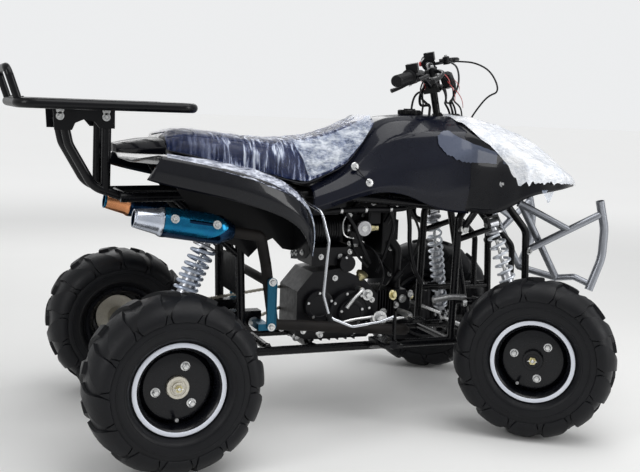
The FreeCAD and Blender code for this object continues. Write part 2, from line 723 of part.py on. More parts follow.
cylinder = new_body("engine_cylinder")
CYLINDER_HALF = 40
FIN_HALF = 56
pad(cylinder, outline(cylinder, "YZ_Plane", (
    (-CYLINDER_HALF, -CYLINDER_HALF), (CYLINDER_HALF, -CYLINDER_HALF),
    (CYLINDER_HALF, CYLINDER_HALF), (-CYLINDER_HALF, CYLINDER_HALF))), 118)
fin = pad(cylinder, outline(cylinder, "YZ_Plane", (
    (-FIN_HALF, -FIN_HALF), (FIN_HALF, -FIN_HALF),
    (FIN_HALF, FIN_HALF), (-FIN_HALF, FIN_HALF)), offset=6), 3)
along(cylinder, fin, "X_Axis", 54, 7)
pad(cylinder, outline(cylinder, "YZ_Plane", (
    (-48, -50), (48, -50), (48, 30), (30, 50), (-30, 50), (-48, 30)), offset=70), 44)
pad(cylinder, rings(cylinder, "YZ_Plane", ((0, 4, 34),), offset=114), 14)
place(cylinder, "RearAxleX + CrankX + 104", 0, "CrankZ - 2")


# Intake: manifold from the head, carburettor with its round cap, and air filter behind it

carb = rear(625, 0, 545)
port = rear(size("CrankX") + 104 + 92, 0, size("CrankZ") + 48.3)
welded("carburettor", [
    tube([port, rear(771, 0, 480), rear(715, 0, 545), carb + forward * 20], 14, 26),
    rod(carb - forward * 30, carb + forward * 29.7, 20),
    block(carb + Vector(-24, -24, -44), carb + Vector(20, 24, -6)),
    block(carb + Vector(-18, -22, 10), carb + Vector(18, 22, 42)),
    rod(carb + Vector(2, -22, 8), carb + Vector(2, -62, 8), 18)])
welded("air_filter", [
    rod(carb - forward * 56, carb - forward * 30.3, 20),
    rod(carb - forward * 150, carb - forward * 56, 44)])


# Exhaust: header along the right side, a cross pipe under the seat and two mufflers

slope = math.radians(size("MufflerSlope"))
muffler_axis = Vector(math.cos(slope), 0, -math.sin(slope))
MUFFLER_LENGTH = 262
PIPE = 15


def muffler_point(sign, distance):
    tip = rear(size("MufflerTipX"), sign * size("MufflerHalf"), size("MufflerTipZ"))
    return tip + muffler_axis * distance


for side, sign in SIDES:
    radius = size("MufflerRadius")
    profile = (
        # distance from the tip, radius
        (0, 20), (0, 23), (62, 33), (70, radius), (228, radius), (MUFFLER_LENGTH, 20),
        (MUFFLER_LENGTH, 0), (50, 0), (50, 20))
    corners = [Vector(along_axis, 0, out) for along_axis, out in profile]
    face = Part.Face(Part.makePolygon(corners + [corners[0]]))
    body_of_muffler = face.revolve(Vector(), Vector(1, 0, 0), 360)
    body_of_muffler.Placement = Placement(
        muffler_point(sign, 0), Rotation(Vector(0, 1, 0), size("MufflerSlope")))
    welded("muffler_" + side, [body_of_muffler])

inlet_right, inlet_left = [
    muffler_point(sign, MUFFLER_LENGTH + size("FitGap")) for side, sign in SIDES]
ELBOW_X = 262
RISER_X = 302
CROSS_Z = 420
welded("exhaust_pipe", [
    tube([rear(RISER_X + 8, -149, CROSS_Z), rear(RISER_X + 8, 140, CROSS_Z),
          rear(ELBOW_X, inlet_left.y, inlet_left.z - 12), inlet_left], PIPE - 2, 22),
    tube([rear(786, 0, size("CrankZ") - 52.3), rear(786, 0, 236), rear(740, -140, 262),
          rear(330, -146, 300), rear(RISER_X, -150, 470),
          rear(ELBOW_X, inlet_right.y, inlet_right.z - 12), inlet_right], PIPE, 22)])


# Wishbones: two tubes from the frame's bushes to an eye round the kingpin

def make_wishbone(sign, bush_xs, bush_z, ball_z, extras):
    bushes = [front(x, sign * size("BushHalf"), bush_z) for x in bush_xs]
    ball = front(0, sign * size("KingpinHalf"), ball_z)
    up = Vector(0, 0, 1)
    shapes = [rod(ball - up * 12, ball + up * 12, 17)]
    for bush in bushes:
        shapes.append(rod(bush - forward * BUSH_HALF_LENGTH, bush + forward * BUSH_HALF_LENGTH,
                          BUSH_RADIUS))
        shapes.append(rod(bush, ball, size("WishboneTube")))
    holes = [rod(ball - up * 20, ball + up * 20, 8)]
    holes += [rod(bush - forward * 30, bush + forward * 30, 5 + size("FitGap")) for bush in bushes]
    return drilled(joined(shapes + extras), holes)


for side, sign in SIDES:
    foot, head = front_shock_ends(sign)
    ears = laid_between(clevis(FRONT_EYE_HALF, FRONT_EYE_BOLT, -30), foot, head, forward)
    welded("wishbone_lower_" + side, [make_wishbone(
        sign, LOWER_BUSH_X, size("LowerBushZ"), size("LowerBallZ"), [ears])])
    welded("wishbone_upper_" + side, [make_wishbone(
        sign, UPPER_BUSH_X, size("UpperBushZ"), size("UpperBallZ"), [])])
    coil = shock_shape(foot, head, size("SpringRadius"), size("SpringWire"), 12,
                       FRONT_EYE_HALF, FRONT_EYE_BOLT)
    welded("shock_front_" + side, [laid_between(coil, foot, head, forward)])


# Steering: each wheel's parking angle follows from the tie rods' one length

def turned(angle):
    return Rotation(Vector(0, 0, 1), angle)


PITMAN_Z = 34
KNUCKLE_ARM_Z = -6
PIN_ABOVE_ARM = 20


def inner_pin(sign, bar_angle):
    local = Vector(-size("PitmanReach"), sign * size("PitmanHalf"), PITMAN_Z)
    return stem_frame.multVec(turned(bar_angle).multVec(local))


def kingpin(sign):
    return front(0, sign * size("KingpinHalf"), size("FrontAxleHeight"))


def outer_pin(sign, wheel_angle):
    local = Vector(-size("ArmReach"), sign * size("ArmOutset"), KNUCKLE_ARM_Z + PIN_ABOVE_ARM)
    return kingpin(sign) + turned(wheel_angle).multVec(local)


def wheel_angle_for(sign, bar_angle):
    """Halve the interval until the tie rod has the length that it has straight ahead."""
    rod_length = (inner_pin(sign, 0) - outer_pin(sign, 0)).Length
    low, high = bar_angle - 25, bar_angle + 25

    def excess(angle):
        return (inner_pin(sign, bar_angle) - outer_pin(sign, angle)).Length - rod_length

    rising = excess(high) > excess(low)
    for step in range(40):
        middle = (low + high) / 2
        if (excess(middle) > 0) == rising:
            high = middle
        else:
            low = middle
    return (low + high) / 2


bar_angle = -size("ParkSteer")
wheel_angle = {side: wheel_angle_for(sign, bar_angle) for side, sign in SIDES}
steering_place = stem_frame.multiply(Placement(Vector(), turned(bar_angle)))


# Knuckles: kingpin post between the wishbone eyes, wheel spindle and steering arm

def make_knuckle(sign):
    up = Vector(0, 0, 1)
    axle_z = size("FrontAxleHeight")
    low = size("LowerBallZ") + 19 - axle_z
    high = size("UpperBallZ") - 19 - axle_z
    out = Vector(0, sign, 0)
    arm_end = Vector(-size("ArmReach"), sign * size("ArmOutset"), KNUCKLE_ARM_Z)
    shapes = [
        rod(Vector(0, 0, low), Vector(0, 0, high), 15),
        rod(Vector(0, 0, low - 31), Vector(0, 0, high + 31), 8 - size("RunningFit")),
        rod(Vector(), out * (size("WheelOffset") + 44), 9),
        rod(out * 10, out * 17, 22),
        rod(Vector(0, 0, KNUCKLE_ARM_Z), arm_end, 7),
        rod(arm_end - up * 6, arm_end + up * 6, 11)]
    return joined(shapes)


for side, sign in SIDES:
    knuckle_place = Placement(kingpin(sign), turned(wheel_angle[side]))
    knuckle = welded("knuckle_" + side, [make_knuckle(sign)])
    knuckle.Placement = knuckle_place
    wheel_place = knuckle_place.multiply(
        Placement(Vector(0, sign * size("WheelOffset"), 0), OUTWARD[side]))
    wheel = (
        make_tyre("tyre_front_" + side, "FrontTyreRadius", "FrontTyreHalf", "FrontRimHalf"),
        make_rim("rim_front_" + side, "FrontRimHalf"),
        make_hub("hub_front_" + side, "FrontRimHalf", "9 + RunningFit", "-28", "20"))
    for item in wheel:
        item.Placement = wheel_place


# Stem with its pitman plate and bar clamp, handlebar, grips and controls, built upright about
# the stem's foot

def make_bar_clamp():
    top = size("StemLength")
    base = block(Vector(-24, -52, top - 26), Vector(24, 52, top - 12))
    saddles = [block(Vector(-18, sign * 36 - 11, top - 14), Vector(18, sign * 36 + 11, top + 17))
               for side, sign in SIDES]
    cap = block(Vector(-18, -36, top + 12), Vector(18, 36, top + 17))
    bore = size("BarTube") + size("FitGap")
    return drilled(joined([base, cap] + saddles), [
        rod(Vector(0, -70, top), Vector(0, 70, top), bore)])


stem = welded("steering_stem", [
    rod(Vector(0, 0, 1), Vector(0, 0, size("StemLength") - 12), size("StemRadius")),
    block(Vector(-size("PitmanReach") - 14, -size("PitmanHalf") - 14, 16),
          Vector(16, size("PitmanHalf") + 14, 22))]
    + [rod(Vector(-size("PitmanReach"), sign * size("PitmanHalf"), 16),
           Vector(-size("PitmanReach"), sign * size("PitmanHalf"), PITMAN_Z + 14), 5)
       for side, sign in SIDES]
    + [make_bar_clamp()])
stem.Placement = steering_place

clamp_z = size("StemLength")
bar_end = size("BarHalf")
bar_points = [
    Vector(-size("BarSweep"), -bar_end, clamp_z + size("BarRise")),
    Vector(-14, -130, clamp_z + size("BarRise") - 6), Vector(0, -62, clamp_z),
    Vector(0, 62, clamp_z), Vector(-14, 130, clamp_z + size("BarRise") - 6),
    Vector(-size("BarSweep"), bar_end, clamp_z + size("BarRise"))]
handlebar = welded("handlebar", [tube(bar_points, size("BarTube"), 40)])
handlebar.Placement = steering_place

for side, sign in SIDES:
    outer = Vector(-size("BarSweep"), sign * bar_end, clamp_z + size("BarRise"))
    inner = Vector(-14, sign * 130, clamp_z + size("BarRise") - 6)
    inward = (inner - outer).normalize()
    end_cap = outer - inward * 6
    grip = rod(end_cap, outer + inward * (size("GripLength") - 6), size("GripRadius"))
    grip = grip.fuse(rod(outer + inward * (size("GripLength") - 10),
                         outer + inward * (size("GripLength") - 4), 21))
    grip = grip.cut(rod(outer - inward * 0.1, inner, size("BarTube") + size("FitGap")))
    grip_piece = welded("grip_" + side, [grip])
    grip_piece.Placement = steering_place
    box_near = outer + inward * (size("GripLength") + 2)
    box_far = outer + inward * (size("GripLength") + 44)
    housing = rod(box_near, box_far, 22).fuse(
        block(box_near + Vector(-6, min(0, -sign * 36), 8), box_near + Vector(26, max(0, -sign * 36), 34)))
    lever_root = box_near + inward * 20 + Vector(18, 0, -4)
    lever = tube([lever_root, lever_root + Vector(30, sign * 6, 0),
                  lever_root + Vector(34, sign * 60, 2), lever_root + Vector(18, sign * 140, 2)], 5, 14)
    housing = housing.fuse(lever)
    housing = housing.cut(rod(outer, inner + inward * 40, size("BarTube") + size("FitGap")))
    control = welded("control_" + side, [housing])
    control.Placement = steering_place

for side, sign in SIDES:
    start = inner_pin(sign, bar_angle)
    finish = outer_pin(sign, wheel_angle[side])
    stem_up = stem_frame.Rotation.multVec(Vector(0, 0, 1))
    reach = (finish - start).normalize()
    tie_rod = joined([rod(start - stem_up * 3, start + stem_up * 8, 11),
                      rod(start + reach * 9, finish, 6),
                      rod(finish - Vector(0, 0, 3), finish + Vector(0, 0, 9), 11)])
    welded("tie_rod_" + side, [drilled(tie_rod, [
        rod(start - stem_up * 8, start + stem_up * 14, 5 + size("RunningFit"))])])


# Rear rack: deck, backstop, bracket plates, curved legs and front posts

def make_rack_deck():
    rear_x, front_x = size("RackRear"), size("RackFront")
    half, z, radius = size("RackHalf"), size("RackDeckZ"), size("RackTube")
    loop = []
    for sign in (-1, 1):
        loop.append(tube([rear(rear_x + 120, sign * half, z), rear(front_x, sign * half, z),
                          rear(front_x, 0, z)], radius, 40))
        loop.append(tube([rear(rear_x + 120, sign * half, z), rear(rear_x, sign * half, z),
                          rear(rear_x, 0, z)], radius, 40))
        loop.append(tube([rear(rear_x + 4, sign * (half - 40), z),
                          rear(rear_x - 24, sign * (half - 40), z + 84),
                          rear(rear_x - 24, 0, z + 84)], radius * 0.8, 24))
    for i in range(5):
        x = rear_x + (front_x - rear_x) * (i + 1) / 6
        loop.append(rod(rear(x, -half, z), rear(x, half, z), 8))
    for sign in (-1, 1):
        y = sign * size("RackLegHalf")
        loop.append(rod(rear(rear_x, y, z), rear(front_x, y, z), 8))
        plate = [rear(-254, y, z), rear(-98, y, z), rear(-98, y, z - 60), rear(-136, y, z - 60),
                 rear(-150, y, z - 44), rear(-176, y, z - 38), rear(-198, y, z - 48),
                 rear(-206, y, z - 66), rear(-250, y, z - 66)]
        face = Part.Face(Part.makePolygon(plate + [plate[0]]))
        loop.append(face.extrude(Vector(0, sign * 5, 0)))
    return loop


def make_rack_leg(sign):
    """A curved leg back from the frame's rear cross tube, and a post up from it."""
    y = sign * (size("RackLegHalf") - LEG_TUBE - size("FitGap"))
    leg = tube([rear(-226, y, 846), rear(-212, y, 780), rear(-150, y, 672), rear(-74, y, 646)],
               LEG_TUBE, 60)
    post = rod(rear(-116, y, 846), rear(-118, y, 656), LEG_TUBE)
    cross_tube = rod(rear(-70, 2 * y, seat_rail_z), rear(-70, 0, seat_rail_z),
                     hoop_tube + size("FitGap"))
    return leg.fuse(post).cut(cross_tube)


LEG_TUBE = 12


welded("rack_deck", make_rack_deck())
welded("rack_legs", [make_rack_leg(sign) for side, sign in SIDES])


# Bodywork: thin moulded shells through a few cross sections

def strip(half_profile, thick):
    """A thin closed section across the vehicle from its right half, given from the middle out."""
    right = [(-y, z) for y, z in reversed(half_profile)]
    top = right + [(y, z) for y, z in half_profile if y > 0]
    under = []
    count = len(top)
    for i in range(count):
        before = top[max(i - 1, 0)]
        after = top[min(i + 1, count - 1)]
        run = Vector(after[0] - before[0], after[1] - before[1], 0)
        run.normalize()
        under.append((top[i][0] + run.y * thick, top[i][1] - run.x * thick))
    return top + list(reversed(under))


def post(body, x, y, low, high):
    """A round moulded post under a skin, down to the tube that carries it."""
    pad(body, rings(body, "XY_Plane", ((x, y, 6), (x, "-%s" % y, 6)), offset=low),
        "%s - (%s)" % (high, low))


def shell(label, stations, origin):
    """A ruled skin through the stations: distance forward, then corners from the middle out."""
    body = new_body(label)
    thick = size("PlasticSheet")
    sections = []
    for x, half_profile in stations:
        sections.append(outline(body, "YZ_Plane", strip(half_profile, thick), offset=x))
    ruled_loft(body, sections)
    place(body, origin, 0, 0)
    return body


FRONT_BODY = (
    # forward of the kingpins, then (half width, height) from the middle out
    (-150, ((0, 884), (60, 882), (150, 846), (180, 800), (190, 740))),
    (-60, ((0, 872), (80, 866), (230, 802), (290, 786), (330, 760))),
    (60, ((0, 838), (90, 830), (220, 776), (300, 752), (330, 730))),
    (180, ((0, 780), (70, 772), (150, 734), (200, 716), (230, 700))),
    (326, ((0, 690), (14, 688), (30, 680), (44, 672), (52, 664))))
front_fender = shell("front_fender", FRONT_BODY, "RearAxleX + WheelBase")
post(front_fender, HOOP_TOP_X, 60, HOOP_TOP_Z - 12 + hoop_tube + 0.2, 864.8)

TANK_COVER = (
    # forward of the rear axle, rising under the seat's front to the tank's top
    (442, ((0, 674), (100, 674), (128, 668), (140, 650), (146, 634))),
    (541, ((0, 732), (76, 730), (122, 716), (146, 676), (152, 622))),
    (650, ((0, 870), (66, 866), (128, 816), (150, 730), (152, 618))),
    (780, ((0, 886), (74, 880), (150, 826), (172, 740), (156, 632))),
    (904, ((0, 884), (58, 882), (146, 842), (176, 790), (186, 720))))
tank_cover = shell("tank_cover", TANK_COVER, "RearAxleX")
post(tank_cover, 700, 60, seat_rail_z - 6 + 9 + 0.2, 870)
pad(tank_cover, rings(tank_cover, "XY_Plane", ((790, 0, "FuelCapRadius"),), offset=880), 18)
stem_through = stem_frame.multVec(Vector(0, 0, 664)).x - size("RearAxleX")
cut_through(tank_cover, rings(tank_cover, "XY_Plane", ((stem_through, 0, "StemRadius + 7"),)))

REAR_BODY = (
    (-30, ((0, 742), (90, 742), (180, 752), (300, 764), (330, 752))),
    (120, ((0, 722), (90, 722), (180, 736), (300, 742), (332, 726))),
    (260, ((0, 692), (90, 692), (180, 704), (290, 706), (326, 688))),
    (372, ((0, 682), (90, 682), (180, 680), (270, 662), (290, 640))),
    (408, ((0, 676), (90, 676), (150, 664), (236, 604), (258, 566))))
rear_fender = shell("rear_fender", REAR_BODY, "RearAxleX")
post(rear_fender, 120, 100, 662.5, 721.6)

# the front wall of each rear wheel's arch, from the skin down beside the frame
ARCH_WALL = ((116, 673), (160, 669), (246, 634), (266, 601), (256, 545), (228, 508),
             (150, 486), (116, 480))
ARCH_WALL_X = 386
for sign in (-1, 1):
    wall = outline(rear_fender, "YZ_Plane", [(sign * y, z) for y, z in ARCH_WALL],
                   offset=ARCH_WALL_X)
    pad(rear_fender, wall, "PlasticSheet")


def solid_loft(label, stations, origin):
    body = new_body(label)
    sections = []
    for x, half_profile in stations:
        left = [(y, z) for y, z in half_profile]
        right = [(-y, z) for y, z in reversed(half_profile) if y > 0]
        sections.append(outline(body, "YZ_Plane", left + right, offset=x))
    ruled_loft(body, sections)
    place(body, origin, 0, 0)
    return body


SEAT = (
    # forward of the rear axle, then (half width, height) from the top's edge to the underside
    (34, ((90, 806), (118, 790), (124, 762), (80, 756))),
    (110, ((108, 818), (136, 796), (140, 750), (90, 740))),
    (290, ((112, 802), (140, 778), (146, 712), (96, 700))),
    (419, ((100, 804), (128, 770), (134, 684), (90, 680))),
    (541, ((84, 835), (108, 800), (118, 738), (70, 736))),
    (640, ((66, 876), (80, 872), (84, 866), (60, 862))))
seat = solid_loft("seat", SEAT, "RearAxleX")
post(seat, 430, 100, 668.2, 700)

TAIL = (
    (-92, ((50, 782), (70, 772), (60, 762), (30, 758))),
    (33.8, ((84, 790), (112, 778), (108, 756), (60, 756))))
solid_loft("seat_tail", TAIL, "RearAxleX")


# Air box between the seat rails, and the splash guard between the rear uprights

air_box = new_body("air_box")
AIR_BOX_HALF = 87.2
pad(air_box, outline(air_box, "XZ_Plane", (
    (300, 612), (330, 596), (536, 596), (560, 620), (560, 660), (300, 660))),
    2 * AIR_BOX_HALF, midplane=True)
place(air_box, "RearAxleX", 0, 0)

splash_guard = new_body("splash_guard")
# half width, height
SPLASH_GUARD = ((93.6, 372), (90.6, 466), (60, 478))
right_edge = [(-y, z) for y, z in SPLASH_GUARD]
left_edge = [(y, z) for y, z in reversed(SPLASH_GUARD)]
pad(splash_guard, outline(splash_guard, "YZ_Plane", right_edge + left_edge, offset=243),
    "PlasticSheet")
place(splash_guard, "RearAxleX", 0, 0)


# Bumper: two curved uprights, struts back to the frame and a cross tube

def make_bumper():
    radius = size("BumperTube")
    half = size("BumperHalf")
    shapes = []
    bores = []
    for sign in (-1, 1):
        points = [front(294, sign * half, 645), front(318, sign * half, 560),
                  front(316, sign * half, 470), front(276, sign * half, 370)]
        shapes.append(tube(points, radius, 120))
        bores.append(rod(points[0] - (points[0] - points[1]).normalize() * 40,
                         points[0] + (points[0] - points[1]).normalize() * 4,
                         radius - size("BumperWall")))
        bores.append(hoop(sign, hoop_tube + size("FitGap")))
        shapes += [
            rod(front(304, sign * half, 606), front(100, sign * 110, 484), 11),
            rod(front(66, sign * 104, 630), front(214, sign * 158, 552), 11),
            tube([front(-4, sign * 107, 652), front(66, sign * 102, 640),
                  front(218, sign * 104, 394)], 11, 40),
            tube([front(218, sign * 104, 394), front(252, sign * 150, 404),
                  front(288, sign * half, 384)], 10, 20)]
    shapes.append(rod(front(218, -104, 394), front(218, 104, 394), 11))
    return drilled(joined(shapes), bores)


welded("front_bumper", [make_bumper()])


# Drive chain: one closed loop round both sprockets, beside the engine's left cover

def make_chain():
    big = size("SprocketRadius") + 1.2
    small = size("DriveRadius") + 1
    far = rear(size("CrankX") - 98, 0, size("CrankZ") + 30)
    centre = rear(0, 0, size("RearAxleHeight"))
    y = size("SprocketY") + 16
    line = far - centre
    tilt = math.atan2(line.z, line.x)
    spread = math.asin((big - small) / line.Length)

    def loop(extra, wide):
        corners = []
        for middle, radius, angle in (
                (centre, big + extra, tilt + math.pi / 2 - spread),
                (far, small + extra, tilt + math.pi / 2 - spread),
                (far, small + extra, tilt - math.pi / 2 + spread),
                (centre, big + extra, tilt - math.pi / 2 + spread)):
            corners.append(middle + Vector(math.cos(angle), 0, math.sin(angle)) * radius)
        ahead = far + Vector(math.cos(tilt), 0, math.sin(tilt)) * (small + extra)
        behind = centre - Vector(math.cos(tilt), 0, math.sin(tilt)) * (big + extra)
        wire = Part.Wire([
            Part.LineSegment(corners[0], corners[1]).toShape(),
            Part.Arc(corners[1], ahead, corners[2]).toShape(),
            Part.LineSegment(corners[2], corners[3]).toShape(),
            Part.Arc(corners[3], behind, corners[0]).toShape()])
        solid = Part.Face(wire).extrude(Vector(0, wide, 0))
        solid.translate(Vector(0, -wide / 2, 0))
        return solid

    ring = loop(9, 10).cut(loop(0, 12))
    ring.translate(Vector(0, size("SprocketY"), 0))
    return ring


welded("drive_chain", [make_chain()])


# Foot rests, the bent rods that stay the rear fender, and the blue guard plates

STAY_HALF = 256


def make_foot_rest(sign):
    peg = rod(rear(640, sign * (frame_half + 5), 219), rear(626, sign * 300, 262), 11)
    near, far = sorted((sign * 190, sign * 300))
    tab_near, tab_far = sorted((sign * (STAY_HALF - 6), sign * (STAY_HALF + 6)))
    tab = block(rear(644, tab_near, 256), rear(650, tab_far, 344))
    rail = rod(rear(560, sign * frame_half, rail_z), rear(700, sign * frame_half, rail_z),
               frame_tube + size("FitGap"))
    return peg.fuse(block(rear(600, near, 252), rear(654, far, 262))).fuse(tab).cut(rail)


def make_fender_stay(sign):
    """A rod out from the seat rail, down behind the rider's heel and forward to the foot rest."""
    y = sign * STAY_HALF
    stay = tube([rear(400, sign * 104, 650), rear(426, sign * 236, 622), rear(442, y, 545),
                 rear(432, y, 400), rear(452, y, 338), rear(520, y, 309), rear(600, y, 318),
                 rear(642.6, y, 331)], size("StayRadius"), 30)
    return stay.cut(seat_rail(sign, frame_tube + size("FitGap")))


def make_guard_plate(sign):
    """The upright plate on a strap out from the end of the swingarm bolt."""
    near, far = sorted((sign * SWING_BOLT_HALF, sign * 176))
    strap = block(rear(277, near, 290), rear(308, far, 310))
    return block(rear(300, sign * 176 - 4, 288), rear(328, sign * 176 + 4, 436)).fuse(strap)


welded("foot_rests", [make_foot_rest(sign) for side, sign in SIDES])
welded("fender_stays", [make_fender_stay(sign) for side, sign in SIDES])
welded("guard_plates", [make_guard_plate(sign) for side, sign in SIDES])

doc.recompute()


# Every object has to be sound, and every sub-part has to be a valid solid

PAIRS = ("rack_legs", "foot_rests", "fender_stays", "guard_plates")
SUB_PARTS = [item for item in doc.Objects
             if item.TypeId in ("PartDesign::Body", "Part::Feature")
             and not item.getParentGeoFeatureGroup()
             and not item.Label.endswith("_casing")]
for item in doc.Objects:
    if "Invalid" in item.State or "Error" in item.State:
        raise RuntimeError("%s did not compute: %s" % (item.Label, item.State))
os.makedirs("parts", exist_ok=True)
for item in SUB_PARTS:
    wanted = 2 if item.Label in PAIRS else 1
    if item.Shape.isNull() or not item.Shape.isValid() or len(item.Shape.Solids) != wanted:
        raise RuntimeError("%s is not %d valid solid(s)" % (item.Label, wanted))
for item in SUB_PARTS:
    item.Shape.exportStep("parts/%s.step" % item.Label)
print(len(SUB_PARTS), "sub-parts written")
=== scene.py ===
import json
import math

import bmesh
import bpy
from mathutils import Matrix, Quaternion, Vector, noise


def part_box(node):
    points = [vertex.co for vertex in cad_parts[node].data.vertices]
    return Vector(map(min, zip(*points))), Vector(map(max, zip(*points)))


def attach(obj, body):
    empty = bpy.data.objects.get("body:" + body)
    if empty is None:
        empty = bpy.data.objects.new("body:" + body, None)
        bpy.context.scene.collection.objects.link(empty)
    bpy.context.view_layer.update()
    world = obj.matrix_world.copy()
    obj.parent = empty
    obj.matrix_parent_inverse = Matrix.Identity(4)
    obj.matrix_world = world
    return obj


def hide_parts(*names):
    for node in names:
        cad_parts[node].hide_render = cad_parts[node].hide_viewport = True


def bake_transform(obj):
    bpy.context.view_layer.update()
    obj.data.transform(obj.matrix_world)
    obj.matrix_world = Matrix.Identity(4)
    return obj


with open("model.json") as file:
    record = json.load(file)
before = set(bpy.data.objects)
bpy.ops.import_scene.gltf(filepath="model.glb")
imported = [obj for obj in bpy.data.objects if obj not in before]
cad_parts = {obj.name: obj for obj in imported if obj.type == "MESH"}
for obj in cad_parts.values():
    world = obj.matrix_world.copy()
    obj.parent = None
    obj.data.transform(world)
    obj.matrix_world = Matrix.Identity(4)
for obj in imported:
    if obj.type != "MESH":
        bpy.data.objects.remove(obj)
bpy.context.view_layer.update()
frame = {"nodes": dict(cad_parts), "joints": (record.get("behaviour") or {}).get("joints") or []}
nodes = frame["nodes"]
scene = bpy.context.scene


# Place to stand it: a pale studio floor, a wide soft light above, a tall one from the front
# right and weaker ones from the rear right and the left. The camera looks from the right
# side, a little behind the front wheel and slightly down.

class Value:
    """A number in a finish's node tree. Reckoning with it adds Math nodes."""

    def __init__(self, finish, socket):
        self.finish = finish
        self.socket = socket

    def reckon(self, operation, other):
        return self.finish.node("Math", {"operation": operation}, {0: self, 1: other})

    def __add__(self, other):
        return self.reckon("ADD", other)

    def __mul__(self, other):
        return self.reckon("MULTIPLY", other)


class Finish:
    """A material: what its shader is set to, and the patterns that feed it."""

    def __init__(self, name, colour=(0.8, 0.8, 0.8), **sockets):
        self.material = bpy.data.materials.new(name)
        self.material.use_nodes = True
        self.tree = self.material.node_tree
        self.shader = self.tree.nodes["Principled BSDF"]
        self.place = self.node("TexCoord", output="Object")
        self.feed("Base Color", colour)
        for socket, value in sockets.items():
            self.feed(socket.replace("_", " "), value)

    def link(self, socket, value):
        if isinstance(value, Value):
            self.tree.links.new(value.socket, socket)
        elif isinstance(value, tuple) and len(value) == 3 and socket.type == "RGBA":
            socket.default_value = (*value, 1)
        else:
            socket.default_value = value

    def node(self, kind, settings=None, values=None, output=0):
        """Any node: its settings first, then the values or links of its sockets."""
        made = self.tree.nodes.new("ShaderNode" + kind)
        for name, setting in (settings or {}).items():
            if name == "stops":
                for extra in setting[2:]:
                    made.color_ramp.elements.new(extra[0])
                for stop, (at, shade) in zip(made.color_ramp.elements, setting):
                    stop.position = at
                    stop.color = (shade, shade, shade, 1)
            else:
                setattr(made, name, setting)
        for name, value in (values or {}).items():
            self.link(made.inputs[name], value)
        return Value(self, made.outputs[output])

    def feed(self, socket, value):
        self.link(self.shader.inputs[socket], value)
        return self

    def stretched(self, *scale):
        return self.node("Mapping", {}, {"Vector": self.place, "Scale": scale})

    def grain(self, scale, detail=4.0, roughness=0.55, place=None):
        return self.node("TexNoise", {}, {"Vector": place or self.place, "Scale": scale,
                                          "Detail": detail, "Roughness": roughness})

    def cells(self, scale, feature="F1"):
        return self.node("TexVoronoi", {"feature": feature},
                         {"Vector": self.place, "Scale": scale})

    def ramp(self, value, *stops):
        return self.node("ValToRGB", {"stops": stops}, {0: value})

    def mix(self, share, first, second):
        return self.node("Mix", {"data_type": "RGBA"}, {0: share, 6: first, 7: second}, 2)

    def bumps(self, height, distance, strength=1.0):
        return self.feed("Normal", self.node("Bump", {}, {
            "Strength": strength, "Distance": distance, "Height": height}))


def pale_floor():
    finish = Finish("studio_floor", Roughness=0.9)
    finish.feed("Specular IOR Level", 0.1)
    patches = finish.grain(0.8, 3)
    finish.feed("Base Color", finish.mix(patches, (0.80, 0.80, 0.79), (0.86, 0.86, 0.85)))
    away = finish.node("VectorMath", {"operation": "LENGTH"}, {0: finish.place}, "Value")
    glow = finish.node("MapRange", {"interpolation_type": "SMOOTHSTEP"}, {
        "Value": away, "From Min": 1.7, "From Max": 7.5, "To Min": 0.0, "To Max": 0.42})
    level = glow * finish.node("LightPath", output="Is Camera Ray")
    finish.feed("Emission Color", finish.node("CombineColor", {}, {0: level, 1: level, 2: level}))
    finish.feed("Emission Strength", 1.0)
    return finish


def link_new(name, data):
    item = bpy.data.objects.new(name, data)
    scene.collection.objects.link(item)
    return item


floor_mesh = bmesh.new()
FLOOR_RADIUS = 60
FLOOR_DROP = 0.0005
bmesh.ops.create_circle(floor_mesh, cap_ends=True, segments=96, radius=FLOOR_RADIUS)
floor_data = bpy.data.meshes.new("floor")
floor_mesh.to_mesh(floor_data)
floor_data.materials.append(pale_floor().material)
floor = link_new("floor", floor_data)
floor.location.z = -FLOOR_DROP

CAMERA_PLACE = (-1.05237, -2.65069, 0.90609)
CAMERA_RIGHT = (0.92920, -0.36767, 0.03742)
CAMERA_UP = (0.01450, 0.13745, 0.99040)
CAMERA_AHEAD = (0.36929, 0.91974, -0.13305)
SENSOR_WIDTH = 36
LENS = 55.295
camera_data = bpy.data.cameras.new("camera")
camera_data.sensor_width = SENSOR_WIDTH
camera_data.lens = LENS
camera = link_new("camera", camera_data)
camera.matrix_world = Matrix.Translation(CAMERA_PLACE) @ Matrix(
    (CAMERA_RIGHT, CAMERA_UP, [-part for part in CAMERA_AHEAD])).transposed().to_4x4()
scene.camera = camera

SOFT_LIGHTS = (
    # name, place, aimed at, width, height, power
    ("overhead", (0.6, -0.8, 3.4), (0, 0, 0.4), 3.4, 2.4, 62),
    ("front_right", (3.0, -2.6, 1.7), (0.2, 0, 0.5), 1.4, 2.2, 46),
    ("rear_right", (-3.4, -1.6, 1.9), (-0.3, 0, 0.5), 1.2, 2.0, 30),
    ("left", (0.2, 3.4, 2.3), (0, 0, 0.4), 3.0, 1.8, 30),
)
for name, place, target, width, height, power in SOFT_LIGHTS:
    lamp = bpy.data.lights.new(name, "AREA")
    lamp.shape = "RECTANGLE"
    lamp.size = width
    lamp.size_y = height
    lamp.energy = power
    item = link_new(name, lamp)
    item.location = place
    item.rotation_euler = (Vector(target) - Vector(place)).to_track_quat("-Z", "Y").to_euler()

